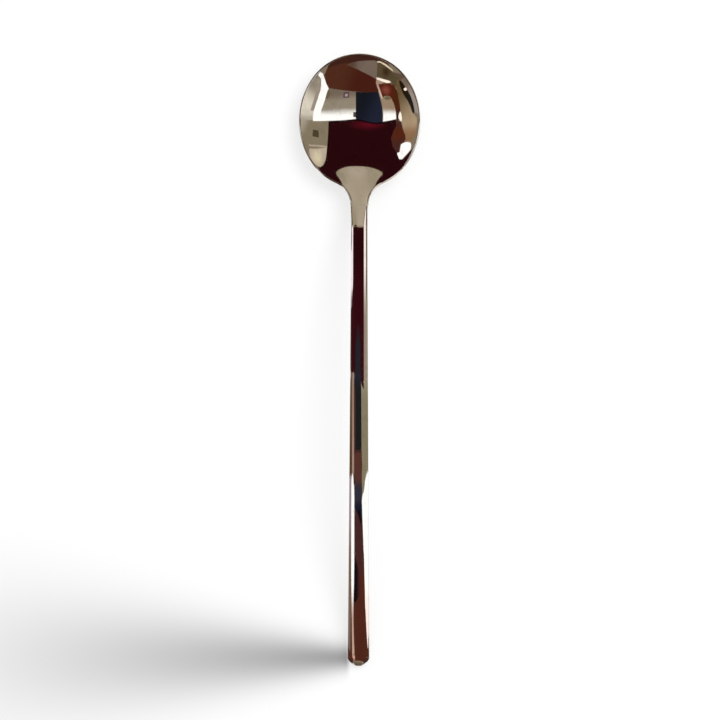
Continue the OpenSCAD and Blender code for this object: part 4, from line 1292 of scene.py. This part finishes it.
cards += [(over_the_handle, card) for card in (
    ("near_base", [(-84.8, 53.7), (-81.7, 50.1), (-96.8, 44.8), (-112.9, 39.2), (-101.1, 32.8),
     (-116.1, 26.3), (-99.4, 19.3), (-113.3, 12.4), (-100.5, 6.4), (-98.1, 3.4), (-111.1, 0), (-99, -7.7),
     (-103, -14.4), (-109.2, -20.9), (-119.3, -27.2), (-99.8, -33.1), (-102.5, -38.7), (-108.9, -44.1),
     (-113, -49.1), (-114.9, -53.9), (-92.7, -58.3), (-92.9, -62.7), (-90, -66.9), (-73.7, -70.9),
     (-75.1, -73.7), (-68.7, -75.4), (-60, -84), (60, -84), (66.2, -75.3), (69.4, -73.6), (76.3, -70.9),
     (89.3, -66.9), (85.6, -62.6), (100, -58.3), (115.6, -53.9), (105.9, -49.1), (96, -44), (106.7, -38.7),
     (97.9, -33.1), (103.8, -27.2), (117.2, -20.9), (102.1, -14.4), (108.2, -7.6), (98.1, -0.1),
     (99.4, 3.4), (100.4, 6.4), (104.3, 12.4), (112.7, 19.4), (119, 26.3), (94.6, 32.7), (98.5, 39),
     (99.5, 44.9), (77.1, 50.1), (76.8, 53.6), (42.2, 53.8), (33.6, 51.2), (27.6, 49.9), (24.1, 49.3),
     (14.6, 48.1), (7.5, 47.5), (3.1, 47.4), (0, 47.4), (-3.2, 47.4), (-6.5, 47.5), (-7.1, 47.5),
     (-9.1, 47.6), (-15.7, 48.2), (-27.7, 49.9), (-34, 51.3), (-38.4, 52.5)], (66, 38, 38), (76, 38, 28),
     ((-2, -29.9), (-1.5, -51.4))),
    ("near_tan", [(-27.7, 57.6), (-31, 54.5), (-35.6, 49.1), (-39.4, 43.6), (-42.6, 37.7), (-45.4, 31.4),
     (-47.7, 24.8), (-49.5, 18), (-50.8, 11.1), (-51.7, 5.3), (-12.4, 3.1), (-12.1, 8.6), (-11.7, 15.2),
     (-11.1, 21.7), (-11.1, 28), (-11.2, 34.1), (-11, 39.9), (-11.1, 45.5), (-10.8, 51.1), (-10.2, 54.5)],
     (144, 120, 103), (158, 132, 119), ((-0.1, 50.7), (0.3, 10.7))),
    ("near_tan_edge", [(-68.4, 58.4), (-84.9, 55.6), (-81.4, 50.3), (-96.5, 45), (-112.7, 39.3),
     (-101, 32.9), (-116, 26.4), (-99.3, 19.4), (-113.2, 12.5), (-100.5, 6.5), (-51.3, 5.3), (-50.4, 11.1),
     (-49, 18), (-47.2, 24.8), (-44.9, 31.4), (-42.1, 37.7), (-38.9, 43.6), (-35.2, 49.1), (-30.5, 54.5),
     (-27.3, 57.6)], (92, 74, 58), (84, 58, 40), ((-0.1, 50.8), (0.3, 10.7))),
    ("near_black", [(-5.2, 54.9), (2.4, 54.8), (3.2, 51), (4.1, 41.7), (5.4, 27), (5.7, 18.5), (2.7, 16.2),
     (-8.4, 16.3), (-7.7, 21.7), (-6.5, 32.1), (-5.7, 41.7), (-5.7, 47.3)], (38, 34, 44), (27, 30, 31),
     ((-1.4, 53.8), (-1.7, 43.5))),
    ("near_khaki", [(2.8, 51.5), (4.3, 50.4), (6.5, 48.6), (8.2, 49.1), (13.3, 51.2), (18.7, 53.4),
     (20.8, 55.9), (26.8, 57.5), (33.5, 59.9), (73.2, 58.7), (75.4, 55.6), (76.6, 50.4), (99, 45.1),
     (98.1, 39.3), (94.3, 33), (118.7, 26.5), (112.5, 19.6), (104.1, 12.5), (100.8, 8.6), (57.8, 6.1),
     (49.2, 1.7), (19.4, -4.8), (9.2, -9), (8, -5.6), (8, 0.9), (8.4, 8.6), (6.6, 15.2), (5.8, 23.9),
     (5, 32.2), (4.1, 41.8)], (142, 134, 114), (128, 120, 98), ((5.2, 53.1), (7.6, 37.1))),
    ("near_navy", [(-11, 14.8), (-2.2, 14.9), (6.4, 14.7), (7.8, 6.5), (8.2, -2.9), (9.1, -5.6),
     (8.9, -9.3), (7.9, -12.4), (8.8, -15.4), (-11.4, -14.9), (-11.2, -2.3), (-11.6, 5.4)], (82, 50, 44),
     (46, 46, 58), ((-2.2, 2), (-2.2, -6.1))),
    ("near_navy_foot", [(-11.3, -8.7), (8.4, -8.7), (7.9, -12.4), (8.8, -15.9), (6.1, -21.8), (2, -18.9),
     (-4.9, -16.9), (-11.4, -15.4)], (46, 46, 58), (24, 26, 42), ((-2.2, -9.3), (-2.2, -14.9))),
    ("near_black_line", [(-4.9, -16.4), (2, -15.9), (7.8, -20.8), (6.2, -23.6), (0.6, -19.8)],
     (18, 14, 18)),
    ("near_black_patch", [(-12.6, -37.1), (-8.3, -37.1), (-0.7, -41.6), (5.5, -47.1), (1.9, -50),
     (-3.9, -51.6), (-11, -52.9)], (14, 10, 18), (72, 36, 31), ((-7.3, -45.1), (5, -45.1))),
    ("near_right_white", [(65, 8.4), (54.5, 4.7), (49.1, 1.9), (44, -0.8), (19.3, -4.7), (11.6, -7),
     (9.2, -9.1), (8.4, -11.3), (9.3, -15.8), (10.7, -22.6), (12, -28.5), (13.1, -34.8), (17.4, -40.6),
     (35.4, -49.6), (42.1, -57.8), (41.5, -65.5), (41.1, -69.7), (40.6, -73.3), (42.1, -73.9),
     (45.4, -71.3), (49.3, -68), (56.5, -61.2), (62.1, -53.5), (66.9, -43.5), (71, -36.5), (74.7, -28.8),
     (77.3, -21.6), (79.4, -13.2), (80.3, -7.6), (80.6, -5), (80.7, -2.5), (80.9, 0.1), (80.9, 3.4),
     (80.8, 6), (80.7, 8.6), (80.4, 11.3)], (255, 255, 255), (252, 236, 230), ((13.7, -37.9), (11, -64.2))),
    ("near_right_edge", [(80.5, 12), (81.1, 3.4), (80.5, -6.9), (78.1, -19.2), (74.1, -30.4), (68.8, -40.3),
     (64.3, -49.3), (59.6, -57.5), (52.1, -64.4), (44.2, -70.9), (77.5, -70.7), (82.7, -63.6),
     (106.5, -56.4), (108.1, -48.4), (103.9, -39.7), (100.6, -30.1), (119.3, -19.7), (105.9, -8.5),
     (98, 0.8), (100.5, 8.6)], (204, 202, 200), (226, 222, 220), ((54.5, 2.4), (45.9, -54.6))),
    ("near_left_white", [(-49.9, 5.5), (-55.2, 3), (-58.1, -0.2), (-58.3, -7.8), (-58.1, -14.5),
     (-57.4, -21), (-56.4, -27.1), (-55.1, -32.8), (-53.5, -38.3), (-51.4, -43.3), (-49.1, -48),
     (-46.7, -52.5), (-43.5, -56.6), (-40.1, -60.5), (-36.1, -64.3), (-27.2, -66.9), (-21, -68.7),
     (-19.4, -70.4), (-7.6, -69.2), (-7.9, -67.5), (-9.1, -64.9), (-10.5, -61.1), (-11.6, -57.4),
     (-12.2, -53.7), (-12.2, -49.8), (-11.8, -45.8), (-11.8, -41.6), (-11.8, -37.1), (-12, -32.3),
     (-12.1, -27.2), (-12.2, -21.6), (-12.1, -15.8), (-12, -9.6), (-12.6, -2.6), (-23, 1), (-39.4, 4.7)],
     (255, 255, 255), (186, 154, 139), ((0.9, -46.8), (1, -59.6))),
    ("near_left_edge", [(-100.1, 6.8), (-97.7, 3.8), (-110.7, 0.3), (-98.6, -7.4), (-102.7, -14.2),
     (-108.9, -20.8), (-119, -27.1), (-99.5, -33.1), (-102.1, -38.8), (-108.5, -44.2), (-112.5, -49.3),
     (-114.1, -54.1), (-92, -58.6), (-92, -63), (-88.9, -67.4), (-72.5, -71.4), (-73.7, -74.2),
     (-67.3, -75.9), (-30.6, -73.1), (-32.2, -71.4), (-34.5, -68.7), (-38.2, -64.8), (-41.7, -60.9),
     (-45.1, -56.9), (-48.3, -52.7), (-50.7, -48.2), (-53, -43.4), (-55, -38.3), (-56.8, -32.9),
     (-58.3, -27.1), (-59.5, -20.9), (-60.3, -14.4), (-60.7, -7.6), (-60.5, 0), (-55.6, 3.1), (-51.4, 5.7)],
     (152, 142, 150), (116, 98, 88), ((0.5, -10.7), (0.9, -45.1))),
    ("near_brown_line", [(-58.3, -32.9), (-56.5, -38.4), (-54.4, -43.6), (-52, -48.4), (-49.5, -52.9),
     (-47.2, -57.4), (-44.7, -61.6), (-41.9, -65.8), (-38.6, -70), (-36.3, -72.9), (-34.4, -74.5),
     (-23.3, -71.2), (-25.1, -69.6), (-31.6, -68), (-37.4, -64.7), (-40.2, -60.6), (-43.3, -56.6),
     (-46.2, -52.4), (-48.8, -48), (-51.3, -43.3), (-53.7, -38.3), (-56, -32.9)], (76, 46, 40)),
)]
cards += [(by_the_end, card) for card in (
    ("end_stripe", [(-25.1, 0.6), (-14.2, -0.8), (-13.9, -9.8), (-15.4, -19.7), (-21.6, -20.2),
     (-21.9, -9.2)], (206, 166, 150), (150, 112, 98), ((-19.2, -2.1), (-21, -19))),
    ("end_foot", [(-24.6, -24.8), (-16.7, -20.1), (-6.4, -18.5), (6.4, -18.8), (16.9, -21.4), (20.8, -51.9),
     (24.9, -63.3), (30, -72), (16, -80), (0, -82), (-18, -80), (-38, -74), (-46, -69), (-40, -56)],
     (122, 106, 90), (92, 80, 66), ((-7.2, -40.5), (-9.4, -61.2))),
    ("end_side_left", [(-33.8, -27.2), (-45.3, -25.5), (-50.1, -19.8), (-53.1, -11.8), (-55.9, -5.2),
     (-88, -4), (-89, -30), (-80, -50), (-70, -74), (-56, -78), (-48, -69)], (60, 38, 34)),
    ("end_side_right", [(18.2, -25), (34.2, -23.6), (47, -21.3), (52.3, -12.9), (56.2, -6.2), (88, -4),
     (89, -30), (80, -50), (70, -74), (50, -80), (36, -76), (26, -64)], (66, 42, 38)),
)]
for number, (place, card) in enumerate(cards, 1):
    hang_card(number, *place, *card)


# Camera
# It looks straight down on the spoon from 650 mm, as in the photograph.
# The bowl is at the top of the picture, and the handle runs down the middle.

camera_height = 0.65
camera_lens = 96.35
camera_place = (0.0003, 0.00026)
camera_turn = radians(0.116)

camera_data = bpy.data.cameras.new("camera")
camera_data.lens = camera_lens
camera = bpy.data.objects.new("camera", camera_data)
camera.location = (*camera_place, camera_height)
camera.rotation_euler = (0, 0, camera_turn)
bpy.context.collection.objects.link(camera)
bpy.context.scene.camera = camera
bpy.context.scene.view_settings.view_transform = "Standard"
